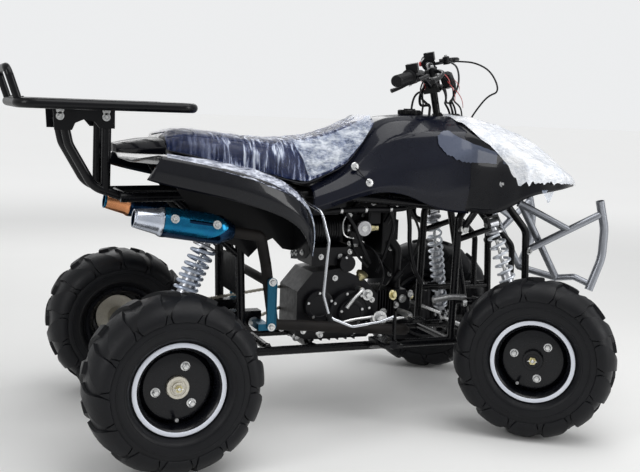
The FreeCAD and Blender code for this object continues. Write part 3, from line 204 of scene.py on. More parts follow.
world = bpy.data.worlds.new("studio")
world.use_nodes = True
scene.world = world
sky = world.node_tree
rays = sky.nodes.new("ShaderNodeLightPath")
seen = sky.nodes.new("ShaderNodeMath")
seen.operation = "MAXIMUM"
sky.links.new(rays.outputs["Is Camera Ray"], seen.inputs[0])
sky.links.new(rays.outputs["Is Transmission Ray"], seen.inputs[1])
level = sky.nodes.new("ShaderNodeMapRange")
level.inputs["To Min"].default_value = 0.5
level.inputs["To Max"].default_value = 0.86
sky.links.new(seen.outputs[0], level.inputs["Value"])
sky.nodes["Background"].inputs["Color"].default_value = (0.98, 0.99, 1.0, 1)
sky.links.new(level.outputs[0], sky.nodes["Background"].inputs["Strength"])
scene.view_settings.view_transform = "Standard"


# Wheels: 8-inch pressed steel rims, gloss black with a bright painted lip, and low-pressure
# balloon tyres of new rubber. Each tyre has fourteen broad bars a side, which run forward
# from the middle line over the shoulder, and a small wedge between two bars' ends.

class Shape:
    """A mesh in the making. Forms are added to it one after another, each with its finish."""

    def __init__(self):
        self.mesh = bmesh.new()
        self.stand = Matrix()

    def at(self, place, along=(0, 0, 1), turn=0):
        """Later forms stand at a place, with their Z along a direction."""
        aim = Vector(along).normalized().to_track_quat("Z", "Y")
        self.stand = Matrix.Translation(place) @ aim.to_matrix().to_4x4() @ Matrix.Rotation(
            turn, 4, "Z")
        return self

    def home(self):
        """Later forms stand in the frame again."""
        self.stand = Matrix()
        return self

    def surface(self, rows, finish=0, ring=False):
        """Faces between rows of points. In a ring, each row closes on itself."""
        made = [[self.mesh.verts.new(self.stand @ Vector(point)) for point in row]
                for row in rows]
        for row, after in zip(made, made[1:]):
            for i in range(len(row) if ring else len(row) - 1):
                j = (i + 1) % len(row)
                face = self.mesh.faces.new((row[i], row[j], after[j], after[i]))
                face.material_index = finish
        return made

    def turned(self, profile, finish=0, segments=32):
        """A form turned round Z through (radius, height) corners. A finish per run will do."""
        rows = []
        for radius, height in profile:
            rows.append([(radius * math.cos(2 * math.pi * i / segments),
                          radius * math.sin(2 * math.pi * i / segments), height)
                         for i in range(segments)])
        made = self.surface(rows, 0, ring=True)
        for first, second, index in zip(made, made[1:], range(len(profile))):
            shade = finish if isinstance(finish, int) else finish[index]
            for vert in first:
                for face in vert.link_faces:
                    if any(other in second for other in (face.verts[2], face.verts[3])):
                        face.material_index = shade
        return self

    def closed(self, rows, finish=0):
        """A closed form through rings of points, with a flat face at both ends."""
        made = self.surface(rows, finish, ring=True)
        for end in (made[0], made[-1]):
            self.mesh.faces.new(end).material_index = finish
        return self

    def box(self, low, high, finish=0):
        x, y, z = zip(low, high)
        return self.closed([[(x[0], y[0], h), (x[1], y[0], h), (x[1], y[1], h), (x[0], y[1], h)]
                            for h in z], finish)

    def plate(self, corners, thick, finish=0):
        """A flat plate with that outline, from Z 0 up."""
        return self.closed([[(x, y, height) for x, y in corners] for height in (0, thick)],
                           finish)

    def bent(self, points, radius, finish=0, sides=12, steps=5):
        """A round bar along a smooth line through the points. A radius for each point will do."""
        points = [Vector(point) for point in points]
        ends = [2 * points[0] - points[1], *points, 2 * points[-1] - points[-2]]
        line = []
        for i in range(len(points) - 1):
            a, b, c, d = ends[i:i + 4]
            count = steps if len(points) > 2 else 1
            for step in range(count):
                t = step / count
                place = 0.5 * (2 * b + (c - a) * t + (2 * a - 5 * b + 4 * c - d) * t ** 2
                               + (3 * b - a - 3 * c + d) * t ** 3)
                line.append((place, i + t))
        line.append((points[-1], len(points) - 1))
        rows = []
        side = None
        for i, (place, at) in enumerate(line):
            ahead = line[min(i + 1, len(line) - 1)][0] - line[max(i - 1, 0)][0]
            ahead.normalize()
            side = ahead.orthogonal() if side is None else side - ahead * side.dot(ahead)
            side.normalize()
            other = ahead.cross(side)
            if isinstance(radius, (int, float)):
                thick = radius
            else:
                low = min(int(at), len(radius) - 2)
                thick = radius[low] + (radius[low + 1] - radius[low]) * (at - low)
            rows.append([place + side * (thick * math.cos(2 * math.pi * k / sides))
                         + other * (thick * math.sin(2 * math.pi * k / sides))
                         for k in range(sides)])
        return self.closed(rows, finish)

    def absorb(self, other):
        """Take over another shape's mesh."""
        data = bpy.data.meshes.new("absorbed")
        other.mesh.to_mesh(data)
        self.mesh.from_mesh(data)
        bpy.data.meshes.remove(data)
        return self

    def bolt(self, place, out, across=0.010, finish=0, washer=True):
        """A hexagon head on its washer, facing out."""
        kept = self.stand
        self.at(place, out)
        if washer:
            self.turned(((0, 0), (across * 0.95, 0), (across * 0.95, across * 0.16),
                         (0, across * 0.16)), finish, 16)
        half = across * 0.56
        self.turned(((0, 0), (half, 0), (half, across * 0.60), (half * 0.84, across * 0.72),
                     (0, across * 0.72)), finish, 6)
        self.stand = kept
        return self


def piece(name, shape, finishes, body, sharp=32, bevel=0, replaces=()):
    """The finished mesh as a piece that rides on a body."""
    bmesh.ops.remove_doubles(shape.mesh, verts=shape.mesh.verts, dist=1e-6)
    bmesh.ops.dissolve_degenerate(shape.mesh, edges=shape.mesh.edges, dist=1e-7)
    bmesh.ops.recalc_face_normals(shape.mesh, faces=shape.mesh.faces)
    data = bpy.data.meshes.new(name)
    shape.mesh.to_mesh(data)
    data.polygons.foreach_set("use_smooth", [True] * len(data.polygons))
    data.set_sharp_from_angle(angle=math.radians(sharp))
    for finish in finishes:
        data.materials.append(finish.material)
    item = link_new(name, data)
    if bevel:
        edge = item.modifiers.new("edges", "BEVEL")
        edge.width = bevel
        edge.segments = 2
        edge.limit_method = "ANGLE"
        edge.angle_limit = math.radians(40)
        edge.harden_normals = True
    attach(item, body)
    if replaces:
        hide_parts(*replaces)
    return item


def coat(name, finish):
    """A CAD node keeps its shape and gets its real finish."""
    data = nodes[name].data
    data.materials.clear()
    data.materials.append(finish.material)


def rubber():
    finish = Finish("tyre_rubber", Roughness=0.5)
    finish.feed("Specular IOR Level", 0.22)
    bloom = finish.grain(9, 5)
    finish.feed("Base Color", finish.mix(bloom, (0.0034, 0.0036, 0.0045), (0.0085, 0.009, 0.0112)))
    finish.feed("Roughness", finish.ramp(finish.grain(26, 4), (0.3, 0.36), (0.75, 0.56)))
    return finish.bumps(finish.grain(900, 3) + finish.grain(120, 3) * 2.0, 0.0006, 0.35)


def patterned(name, dark, light, spots, rough, pits, specular=None, **sockets):
    """A finish of three patterns: spots between two colours, a roughness and fine pits.

    Spots are grain with a scale and a detail, or cells where only a scale is given. Rough is
    a scale with its lowest and highest value. Pits are grain with a depth and a strength."""
    finish = Finish(name, **sockets)
    if specular is not None:
        finish.feed("Specular IOR Level", specular)
    pattern = finish.grain(*spots) if isinstance(spots, tuple) else finish.cells(spots)
    finish.feed("Base Color", finish.mix(pattern, dark, light))
    if rough:
        scale, low, high = rough
        finish.feed("Roughness", finish.ramp(finish.grain(scale), (0.3, low), (0.8, high)))
    scale, detail, depth, strength = pits
    return finish.bumps(finish.grain(scale, detail), depth, strength)


RUBBER = rubber()
RIM_BLACK = patterned("rim_black", (0.0018, 0.002, 0.0032), (0.005, 0.0056, 0.008), (14, 4),
                      (60, 0.22, 0.42), (240, 2, 0.0002, 0.3), 0.18,
                      Coat_Weight=0.25, Coat_Roughness=0.12)
LIP_SILVER = patterned("lip_silver", (0.62, 0.66, 0.76), (0.84, 0.86, 0.91), (7, 5),
                       (45, 0.3, 0.5), (500, 2, 0.0001, 0.4),
                       Metallic=0.25, Coat_Weight=0.3, Coat_Roughness=0.2)
ZINC = patterned("zinc_plate", (0.50, 0.51, 0.53), (0.80, 0.80, 0.78), 160,
                 (90, 0.22, 0.42), (700, 2, 0.0001, 0.4), Metallic=1.0)
BRASS = patterned("passivated_brass", (0.52, 0.45, 0.22), (0.74, 0.68, 0.42), (50, 4),
                  (120, 0.25, 0.45), (500, 2, 0.0001, 0.4), Metallic=1.0)
HUB_ALLOY = patterned("hub_alloy", (0.50, 0.47, 0.40), (0.74, 0.71, 0.63), (260, 3),
                      (80, 0.34, 0.52), (260, 3, 0.0002, 0.4), Metallic=0.85)

FLANGE_RADIUS = 0.115
SEAT_RADIUS = 0.100
LUG_HEIGHT = 0.009
LUGS = 14
BEAD_INSET = 0.0063
TYRE_STEPS = 96


def tyre_profile(radius, half, bead):
    """Half a casing's section from the middle line to the bead: (sideways, radius)."""
    crown = radius - LUG_HEIGHT
    return ((0, crown), (0.30 * half, crown - 0.0012), (0.55 * half, crown - 0.0055),
            (0.76 * half, crown - 0.0150), (0.90 * half, crown - 0.0290),
            (0.975 * half, crown - 0.0440), (0.998 * half, 0.158), (0.985 * half, 0.143),
            (0.930 * half, 0.130), ((bead + half * 0.9) / 2, 0.1215), (bead, 0.1172))


def along_profile(profile, share):
    """The point and the outward direction at a share of the section's corners."""
    place = min(max(share, 0), 0.99999) * (len(profile) - 1)
    i = int(place)
    t = place - i
    ends = [(-profile[1][0], profile[1][1]), *profile,
            (2 * profile[-1][0] - profile[-2][0], 2 * profile[-1][1] - profile[-2][1])]
    a, b, c, d = ends[i:i + 4]
    point, run = [], []
    for k in (0, 1):
        point.append(0.5 * (2 * b[k] + (c[k] - a[k]) * t
                            + (2 * a[k] - 5 * b[k] + 4 * c[k] - d[k]) * t ** 2
                            + (3 * b[k] - a[k] - 3 * c[k] + d[k]) * t ** 3))
        run.append(0.5 * ((c[k] - a[k]) + 2 * (2 * a[k] - 5 * b[k] + 4 * c[k] - d[k]) * t
                          + 3 * (3 * b[k] - a[k] - 3 * c[k] + d[k]) * t ** 2))
    out = Vector((-run[1], run[0])).normalized()
    return Vector(point), out


def on_tyre(profile, side, share, angle, lift):
    point, out = along_profile(profile, share)
    y, radius = point + out * lift
    return (radius * math.cos(angle), radius * math.sin(angle), side * y)


BAR = (
    # share of the section, middle of the bar and half its width in pitches, height left
    (0.015, 0.00, 0.150, 1.00),
    (0.060, 0.05, 0.165, 1.00),
    (0.120, 0.12, 0.190, 1.00),
    (0.180, 0.20, 0.230, 1.00),
    (0.240, 0.27, 0.290, 1.00),
    (0.300, 0.33, 0.360, 1.00),
    (0.360, 0.38, 0.405, 1.00),
    (0.420, 0.41, 0.415, 0.95),
    (0.470, 0.43, 0.380, 0.72),
    (0.505, 0.44, 0.330, 0.35),
)
WEDGE = (
    (0.385, -0.09, 0.012, 0.8),
    (0.425, -0.08, 0.045, 0.7),
    (0.465, -0.07, 0.080, 0.5),
    (0.500, -0.06, 0.095, 0.2),
)


def add_bar(shape, profile, side, start, rows):
    """A raised bar over the casing: sloping sides, a top that follows the round."""
    pitch = 2 * math.pi / LUGS
    lean = 0.0022
    across = 7
    grid = []
    for share, middle, half, height in rows:
        _, radius = along_profile(profile, share)[0]
        row = []
        for k in range(across + 2):
            if k in (0, across + 1):
                edge = half + lean / (radius * pitch)
                offset = edge if k else -edge
                lift = -0.0015
            else:
                offset = half * (2 * (k - 1) / (across - 1) - 1)
                lift = LUG_HEIGHT * height
            row.append((share, start + (middle + offset) * pitch, lift))
        grid.append(row)
    step = 0.012
    first = [(share - step, angle, -0.0015) for share, angle, lift in grid[0]]
    last = [(share + step, angle, -0.0015) for share, angle, lift in grid[-1]]
    shape.surface([[on_tyre(profile, side, *spot) for spot in row]
                   for row in [first, *grid, last]])


def make_tyre(radius, half, bead):
    """A tyre about the origin with its axle along Z and the outside of the wheel up."""
    profile = tyre_profile(radius, half, bead)
    shape = Shape()
    section = [along_profile(profile, i / 40) for i in range(41)]
    right = [(point.x, point.y) for point, out in section]
    whole = [(-y, r) for y, r in reversed(right)] + right[1:]
    whole = [(-bead, SEAT_RADIUS + 0.0006), *whole, (bead, SEAT_RADIUS + 0.0006)]
    shape.turned([(r, y) for y, r in whole], 0, TYRE_STEPS)
    for side in (1, -1):
        for place, wide, high in ((0.155, 0.0016, 0.0011), (0.1345, 0.0012, 0.0009),
                                  (0.176, 0.0014, 0.0008)):
            rows = []
            share = next(i / 200 for i in range(80, 200)
                         if along_profile(profile, i / 200)[0].y < place)
            for offset, lift in ((-0.012, -0.0005), (-0.006, high), (0.006, high),
                                 (0.012, -0.0005)):
                rows.append([on_tyre(profile, side, share + offset * wide / 0.0014,
                                     2 * math.pi * k / TYRE_STEPS, lift)
                             for k in range(TYRE_STEPS)])
            shape.surface(rows, ring=True)
        shift = 0 if side > 0 else 0.5
        for lug in range(LUGS):
            start = 2 * math.pi * (lug + shift) / LUGS
            add_bar(shape, profile, side, start, BAR)
            add_bar(shape, profile, side, start, WEDGE)
    return shape


def make_rim(half):
    """A pressed rim about the origin with its outside up: bright lip, black dish, disc."""
    shape = Shape()
    sheet = 0.004
    disc = half - 0.034
    inner = SEAT_RADIUS - sheet
    profile = (
        (SEAT_RADIUS, -half + 0.006), (FLANGE_RADIUS - 0.001, -half + 0.006),
        (FLANGE_RADIUS, -half + 0.003), (FLANGE_RADIUS - 0.002, -half),
        (0.104, -half), (inner, -half + 0.008), (inner - 0.006, -half + 0.020),
        (inner - 0.010, -half + 0.026), (inner - 0.010, disc - 0.022),
        (0.080, disc - 0.004), (0.070, disc), (0.0285, disc), (0.0285, disc + sheet),
        (0.070, disc + sheet), (0.082, disc + 0.0015), (inner - 0.002, disc - 0.012),
        (inner - 0.002, half - 0.014), (0.0985, half - 0.005), (0.1035, half - 0.0008),
        (0.1045, half), (0.1125, half), (FLANGE_RADIUS - 0.0006, half - 0.0008),
        (FLANGE_RADIUS, half - 0.003), (FLANGE_RADIUS - 0.001, half - 0.006),
        (SEAT_RADIUS, half - 0.006))
    bright = range(18, 22)  # the runs of the profile that make the outer lip
    shape.turned([*profile, profile[0]], [1 if i in bright else 0 for i in range(len(profile))],
                 96)
    return shape


def wheel_stand(centre, outward, shape):
    """Turn a shape made about the origin with its outside up so that it faces outward."""
    turn = Matrix.Translation(centre) @ Vector(outward).to_track_quat("Z", "Y").to_matrix().to_4x4()
    bmesh.ops.transform(shape.mesh, matrix=turn, verts=shape.mesh.verts)
    return shape


def joint(name):
    return next(entry for entry in frame["joints"] if entry["name"] == name)


SIDES = (("right", -1), ("left", 1))
REAR_SIZES = (0.222, 0.095, 0.074)  # the tyre's radius and half width, the rim's half width
FRONT_SIZES = (0.225, 0.076, 0.062)
FIRST_NUTS = {"right": (70, 45), "left": (20, 100)}  # degrees, rear wheel then front wheel
WHEELS = []
for side, sign in SIDES:
    low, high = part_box("tyre_rear_" + side)
    rear_nut, front_nut = FIRST_NUTS[side]
    WHEELS.append(("rear_" + side, "rear_axle", (low + high) / 2, (0, sign, 0), *REAR_SIZES,
                   rear_nut))
    spin = joint("wheel_%s_spin" % side)
    outward = Vector(spin["axis"]) * sign
    WHEELS.append(("front_" + side, "wheel_front_" + side, Vector(spin["pos_m"]), outward,
                   *FRONT_SIZES, front_nut))

for name, body, centre, outward, radius, half, rim_half, first in WHEELS:
    bead = rim_half - BEAD_INSET
    piece("tyre_tread_" + name, wheel_stand(centre, outward, make_tyre(radius, half, bead)),
          [RUBBER], body, sharp=28, replaces=("tyre_" + name,))
    piece("rim_dish_" + name, wheel_stand(centre, outward, make_rim(rim_half)),
          [RIM_BLACK, LIP_SILVER], body, replaces=("rim_" + name,))


# Wheel fixings: each hub has a flange behind the wheel's disc, alloy at the rear and black
# steel in front, and three plated nuts hold the disc to it. A castle nut and its pin close
# the axle, and a rubber valve stem stands low in the dish.

AXLE_X = joint("rear_axle_spin")["pos_m"][0]
DISC_INSET = 0.034
STUD_CIRCLE = 0.054


def rear(x, y, z):
    """A point in millimetres, forward of the rear axle."""
    return Vector((AXLE_X + x / 1000, y / 1000, z / 1000))


GREY_ZINC = patterned("zinc_grey", (0.20, 0.205, 0.21), (0.42, 0.42, 0.42), 140, None,
                      (600, 2, 0.0001, 0.4), Metallic=0.9, Roughness=0.45)
BLACK_STEEL = patterned("black_steel", (0.004, 0.004, 0.005), (0.010, 0.010, 0.012), (20, 4),
                        (80, 0.32, 0.5), (380, 2, 0.0002, 0.3), 0.18,
                        Coat_Weight=0.18, Coat_Roughness=0.25)


def add_nuts(shape, face, first):
    """Three wheel nuts with washers and stud ends on a disc's face."""
    for i in range(3):
        angle = math.radians(first) + 2 * math.pi * i / 3
        shape.at((STUD_CIRCLE * math.cos(angle), STUD_CIRCLE * math.sin(angle), face))
        shape.turned(((0, 0), (0.0115, 0), (0.0115, 0.0015), (0.0085, 0.0022), (0, 0.0022)),
                     1, 20)
        shape.turned(((0, 0.002), (0.0092, 0.002), (0.0092, 0.0085), (0.0072, 0.0105),
                      (0.0054, 0.0105), (0.0054, 0.0135), (0, 0.014)), 1, 6)
    shape.home()


def add_castle_nut(shape, base, across):
    """Six slots in its crown, a split pin through two of them."""
    half = across / 2
    shape.at((0, 0, base))
    shape.turned(((0, 0), (half * 1.15, 0), (half * 1.15, half * 0.5), (half * 0.9, half * 0.6),
                  (0, half * 0.6)), 2, 6)
    for i in range(6):
        angle = math.pi * (i + 0.5) / 3
        spot = Vector((math.cos(angle), math.sin(angle), 0)) * half * 0.68
        corner = Vector((half * 0.16, half * 0.16, 0))
        shape.box(spot - corner + Vector((0, 0, half * 0.5)),
                  spot + corner + Vector((0, 0, half * 0.95)), 2)
    shape.turned(((0, 0), (half * 0.5, 0), (half * 0.5, half * 1.05), (half * 0.4, half * 1.15),
                  (0, half * 1.15)), 1, 18)
    shape.bent([(-half * 1.25, 0.0006, half * 0.8), (0, 0, half * 0.78),
                (half * 1.3, 0, half * 0.8), (half * 1.45, 0.002, half * 0.6)], 0.0009, 1, 6)
    shape.home()


def make_hub(half, inner, nose, bore, first):
    """The flange, barrel and nose of a hub with its nuts, the outside of the wheel up."""
    seat = half - DISC_INSET
    shape = Shape()
    shape.turned(((bore, inner), (0.030, inner), (0.030, seat - 0.008), (0.066, seat - 0.008),
                  (0.066, seat), (0.0277, seat), (0.0277, seat + nose - 0.001),
                  (0.0267, seat + nose), (0.0200, seat + nose), (0.0188, seat + nose - 0.0012),
                  (bore, seat + nose - 0.0012), (bore, inner)), 0, 48)
    add_nuts(shape, seat + 0.004, first)
    return shape


axle = Shape()
for name, body, centre, outward, radius, half, rim_half, first in WHEELS:
    if name.startswith("rear"):
        hub = make_hub(rim_half, -0.020, 0.014, 0.0148, first)
        hub.turned(((0.0146, 0.030), (0.0146, rim_half - 0.015), (0.0136, rim_half - 0.0142),
                    (0, rim_half - 0.0142)), 0, 32)
        add_castle_nut(hub, rim_half - 0.0145, 0.016)
        wheel_stand(centre, outward, hub)
        axle.absorb(hub)
    else:
        hub = make_hub(rim_half, -0.028, 0.020, 0.0091, first)
        add_castle_nut(hub, rim_half - 0.0148, 0.019)
        piece("hub_alloy_" + name, wheel_stand(centre, outward, hub),
              [BLACK_STEEL, ZINC, BRASS], body, replaces=("hub_" + name,))
    valve = Shape()
    angle = math.radians(first + 60 + 135)
    out = Vector((math.cos(angle), math.sin(angle), 0))
    valve.bent([out * 0.078 + Vector((0, 0, rim_half - 0.034)),
                out * 0.077 + Vector((0, 0, rim_half - 0.020)),
                out * 0.074 + Vector((0, 0, rim_half - 0.006))], (0.0052, 0.0042, 0.0040), 0, 12)
    valve.bent([out * 0.0742 + Vector((0, 0, rim_half - 0.007)),
                out * 0.0732 + Vector((0, 0, rim_half - 0.001))], 0.0046, 1, 10)
    piece("valve_stem_" + name, wheel_stand(centre, outward, valve), [RUBBER, GREY_ZINC], body)
shaft_half = (WHEELS[0][2] - WHEELS[2][2]).length / 2 - 0.018
axle.bent([rear(0, -shaft_half * 1000, 222), rear(0, shaft_half * 1000, 222)], 0.0149, 0, 32)
piece("axle_shaft_steel", axle, [HUB_ALLOY, ZINC, BRASS], "rear_axle",
      replaces=("rear_axle_shaft",))


# Final drive: a cut sprocket and a roller chain at the left, a drilled brake disc at the
# right with its caliper, and the black swingarm between them on a plated pivot bolt.

SPROCKET_Y = 82
SPROCKET_RADIUS = 0.081
DRIVE_RADIUS = 0.025
LINK_PITCH = 0.0127
LINK_OUTLINE = ((-0.0035, 0.0), (-0.002, 0.0038), (0.002, 0.0038), (0.0063, 0.0026),
                (0.0107, 0.0038), (0.0147, 0.0038), (0.0162, 0.0), (0.0147, -0.0038),
                (0.0107, -0.0038), (0.0063, -0.0026), (0.002, -0.0038), (-0.002, -0.0038))
PLATE_THICK = 0.0012

CHAIN_STEEL = patterned("chain_steel", (0.26, 0.24, 0.20), (0.50, 0.47, 0.40), (90, 5),
                        (180, 0.28, 0.5), (700, 2, 0.0001, 0.4), Metallic=1.0)
DISC_STEEL = patterned("disc_steel", (0.42, 0.43, 0.45), (0.66, 0.67, 0.69), (30, 5),
                       (60, 0.28, 0.5), (700, 2, 0.0001, 0.4), Metallic=1.0)


def chain_line():
    """Points one link apart round both sprockets, in the plane of the chain."""
    wheel = rear(0, SPROCKET_Y, 222)
    drive = rear(477, SPROCKET_Y, 342)
    run = drive - wheel
    tilt = math.atan2(run.z, run.x)
    spread = math.asin((SPROCKET_RADIUS - DRIVE_RADIUS) / run.length)
    fine = []

    def arc(middle, radius, start, sweep):
        for i in range(121):
            angle = start + sweep * i / 120
            fine.append(middle + Vector((math.cos(angle), 0, math.sin(angle))) * radius)

    arc(drive, DRIVE_RADIUS, tilt + math.pi / 2 - spread, 2 * spread - math.pi)
    arc(wheel, SPROCKET_RADIUS, tilt - math.pi / 2 + spread, -math.pi - 2 * spread)
    fine.append(fine[0])
    total = sum((b - a).length for a, b in zip(fine, fine[1:]))
    count = 2 * round(total / LINK_PITCH / 2)
    line, gone, want = [], 0.0, 0.0
    for a, b in zip(fine, fine[1:]):
        step = (b - a).length
        while want <= gone + step and len(line) < count:
            line.append(a + (b - a) * ((want - gone) / max(step, 1e-9)))
            want += total / count
        gone += step
    return line


def make_chain():
    shape = Shape()
    line = chain_line()
    side = Vector((0, 1, 0))
    for i, (a, b) in enumerate(zip(line, line[1:] + line[:1])):
        ahead = (b - a).normalized()
        up = side.cross(ahead)
        wide = 0.0044 if i % 2 else 0.0032
        for sign in (-1, 1):
            shape.closed([[a + ahead * along + up * high + side * y
                           for along, high in LINK_OUTLINE]
                          for y in (wide * sign, (wide + PLATE_THICK) * sign)])
        shape.bent([a - side * 0.0062, a + side * 0.0062], 0.0018, 0, 8)
        shape.bent([a - side * 0.0031, a + side * 0.0031], 0.0042, 0, 10)
    return shape


piece("roller_chain", make_chain(), [CHAIN_STEEL], "chassis", sharp=40,
      replaces=("drive_chain",))
coat("rear_sprocket", CHAIN_STEEL)
coat("brake_disc", DISC_STEEL)

swing_fixings = Shape()
for sign in (-1, 1):
    out = Vector((0, sign, 0))
    swing_fixings.bolt(rear(285, sign * 112.3, 300), out, 0.017)
    swing_fixings.bolt(rear(80, sign * 26, 292), out, 0.013)
    swing_fixings.bolt(rear(0, 0, 252) + out * 0.030, (0, 0, 1), 0.010)
for x, z in ((52, 308), (84, 260)):
    swing_fixings.bolt(rear(x, -88.2, z), (0, -1, 0), 0.010)
for x, z in ((60, 270), (72, 298)):
    swing_fixings.at(rear(x, -88, z), (0, -1, 0))
    swing_fixings.turned(((0, 0), (0.011, 0), (0.011, 0.002), (0.008, 0.003), (0, 0.003)), 1, 24)
swing_fixings.home()
piece("swingarm_fixings", swing_fixings, [ZINC, BLACK_STEEL], "chassis")


# Shock absorbers: a wire coil round a damper, seated between two pressed cups, an eye with
# a rubber bush and a through bolt at each end. The springs are lacquered pale silver in
# front and pale blue at the rear.

def damper_alloy():
    finish = Finish("damper_alloy", Metallic=0.9)
    rings = finish.grain(14, 3, place=finish.stretched(1, 1, 30))
    finish.feed("Base Color", finish.mix(rings, (0.44, 0.45, 0.48), (0.66, 0.67, 0.70)))
    finish.feed("Roughness", finish.ramp(rings, (0.3, 0.26), (0.8, 0.44)))
    return finish.bumps(rings, 0.0001, 0.5)


SPRING_SILVER, SPRING_BLUE = [
    patterned(name, dark, light, (25, 3), None, (500, 2, 0.0001, 0.3), Metallic=0.35,
              Coat_Weight=0.5, Coat_Roughness=0.12, Roughness=0.3)
    for name, dark, light in (("spring_silver", (0.55, 0.60, 0.68), (0.775, 0.80, 0.84)),
                              ("spring_pale_blue", (0.42, 0.52, 0.70), (0.71, 0.76, 0.85)))]
DAMPER_ALLOY = damper_alloy()


def stand_between(foot, head, eye_axis):
    up = (head - foot).normalized()
    level = (eye_axis - up * eye_axis.dot(up)).normalized()
    turn = Matrix((level.cross(up), level, up)).transposed().to_4x4()
    return Matrix.Translation(foot) @ turn


def make_shock(foot, head, eye_axis, coil, wire, turns, eye_half, bolt):
    shape = Shape()
    shape.stand = stand_between(foot, head, eye_axis)
    length = (head - foot).length
    eye = 0.015
    damper = coil * 0.62
    low = eye + 0.022
    high = length - eye - 0.014
    shape.turned(((0, eye - 0.004), (damper * 0.7, eye - 0.004), (damper, eye + 0.004),
                  (damper, low - 0.006), (coil, low - 0.006), (coil, low - 0.001),
                  (coil - 0.002, low), (damper, low + 0.001), (damper * 0.98, low + 0.010),
                  (damper * 0.98, low + (high - low) * 0.62), (damper * 0.80,
                   low + (high - low) * 0.64), (0, low + (high - low) * 0.64)), 1, 32)
    shape.turned(((damper * 0.99, low + 0.012), (damper * 1.05, low + 0.013),
                  (damper * 1.05, low + 0.017), (damper * 0.99, low + 0.018)), 3, 32)
    shape.turned(((0.0055, low + (high - low) * 0.6), (0.0055, high)), 2, 16)
    shape.turned(((0.0055, high - 0.020), (0.013, high - 0.018), (0.013, high - 0.006),
                  (0.0055, high - 0.001)), 3, 20)
    shape.turned(((0, high - 0.001), (coil - 0.002, high - 0.001), (coil, high + 0.001),
                  (coil, high + 0.005), (coil - 0.004, high + 0.006), (damper * 0.6, high + 0.009),
                  (damper * 0.55, length - eye + 0.004), (0, length - eye + 0.004)), 1, 32)
    winding = coil - wire
    points = []
    steps = 22
    for i in range(turns * steps + 1):
        share = i / (turns * steps)
        rise = share + 0.020 * math.sin(2 * math.pi * share)
        angle = 2 * math.pi * turns * share
        points.append((winding * math.cos(angle), winding * math.sin(angle),
                       low + wire * 0.9 + (high - low - wire * 1.9) * rise))
    shape.bent(points, wire, 0, 10, 1)
    for height in (0, length):
        middle = Vector((0, 0, height))
        side = Vector((0, 1, 0))
        shape.bent([middle - side * (eye_half - 0.001), middle + side * (eye_half - 0.001)],
                   eye, 1, 24)
        shape.bent([middle - side * eye_half, middle + side * eye_half], eye * 0.72, 3, 20)
        shape.bent([middle - side * (eye_half + 0.010), middle + side * (eye_half + 0.010)],
                   bolt, 2, 14)
        for sign in (-1, 1):
            end = middle + side * sign * (eye_half + 0.0052)
            shape.bent([end, end + side * sign * 0.0048], bolt * 1.65, 2, 6)
    return shape


SHOCKS = [("rear", rear(80, 0, 292), rear(182, 0, 522), (0, 1, 0), 0.036, 0.0050, 9, 0.022,
           0.006, SPRING_BLUE)]
for side, sign in SIDES:
    SHOCKS.append(("front_" + side, rear(1080, sign * 262, 214), rear(985, sign * 185, 578),
                   (1, 0, 0), 0.026, 0.0040, 12, 0.015, 0.005, SPRING_SILVER))
for name, foot, head, eye_axis, coil, wire, turns, eye_half, bolt, lacquer in SHOCKS:
    shape = make_shock(foot, head, Vector(eye_axis), coil, wire, turns, eye_half, bolt)
    piece("coil_shock_" + name, shape, [lacquer, DAMPER_ALLOY, ZINC, RUBBER], "chassis",
          replaces=("shock_" + name,))


# Main frame and wishbones: steel tube, powder coated gloss black. Welds run round the
# joints, and plated bolts hold the wishbones, the shocks and the engine.

def powder_black(name, gloss, fine=260):
    return patterned(name, (0.0012, 0.0013, 0.0020), (0.0036, 0.0038, 0.0052), (12, 5),
                     (70, gloss, gloss + 0.16), (fine, 2, 0.0003, 0.3), 0.14,
                     Coat_Weight=0.2, Coat_Roughness=0.14)


FRAME_BLACK = powder_black("frame_powder_black", 0.22)
PLASTIC_BLACK = powder_black("black_plastic", 0.42, 700)

for name in ("main_frame", "swingarm", "rack_legs", "foot_rests", "wishbone_lower_right",
             "wishbone_lower_left", "wishbone_upper_right", "wishbone_upper_left"):
    coat(name, FRAME_BLACK)
coat("swingarm_bolt", ZINC)


WELD_BEAD = 0.0022
WELD_RIPPLE = 0.0005


def add_weld(shape, place, axis, radius):
    """A rippled bead round a tube where it meets another."""
    shape.at(place, axis)
    rows = []
    for i in range(48):
        angle = 2 * math.pi * i / 48
        thick = WELD_BEAD + WELD_RIPPLE * math.sin(9 * angle)
        rows.append([((radius + thick * math.cos(k * math.pi / 3)) * math.cos(angle),
                      (radius + thick * math.cos(k * math.pi / 3)) * math.sin(angle),
                      thick * math.sin(k * math.pi / 3)) for k in range(6)])
    shape.surface([*rows, rows[0]], ring=True)
    shape.home()


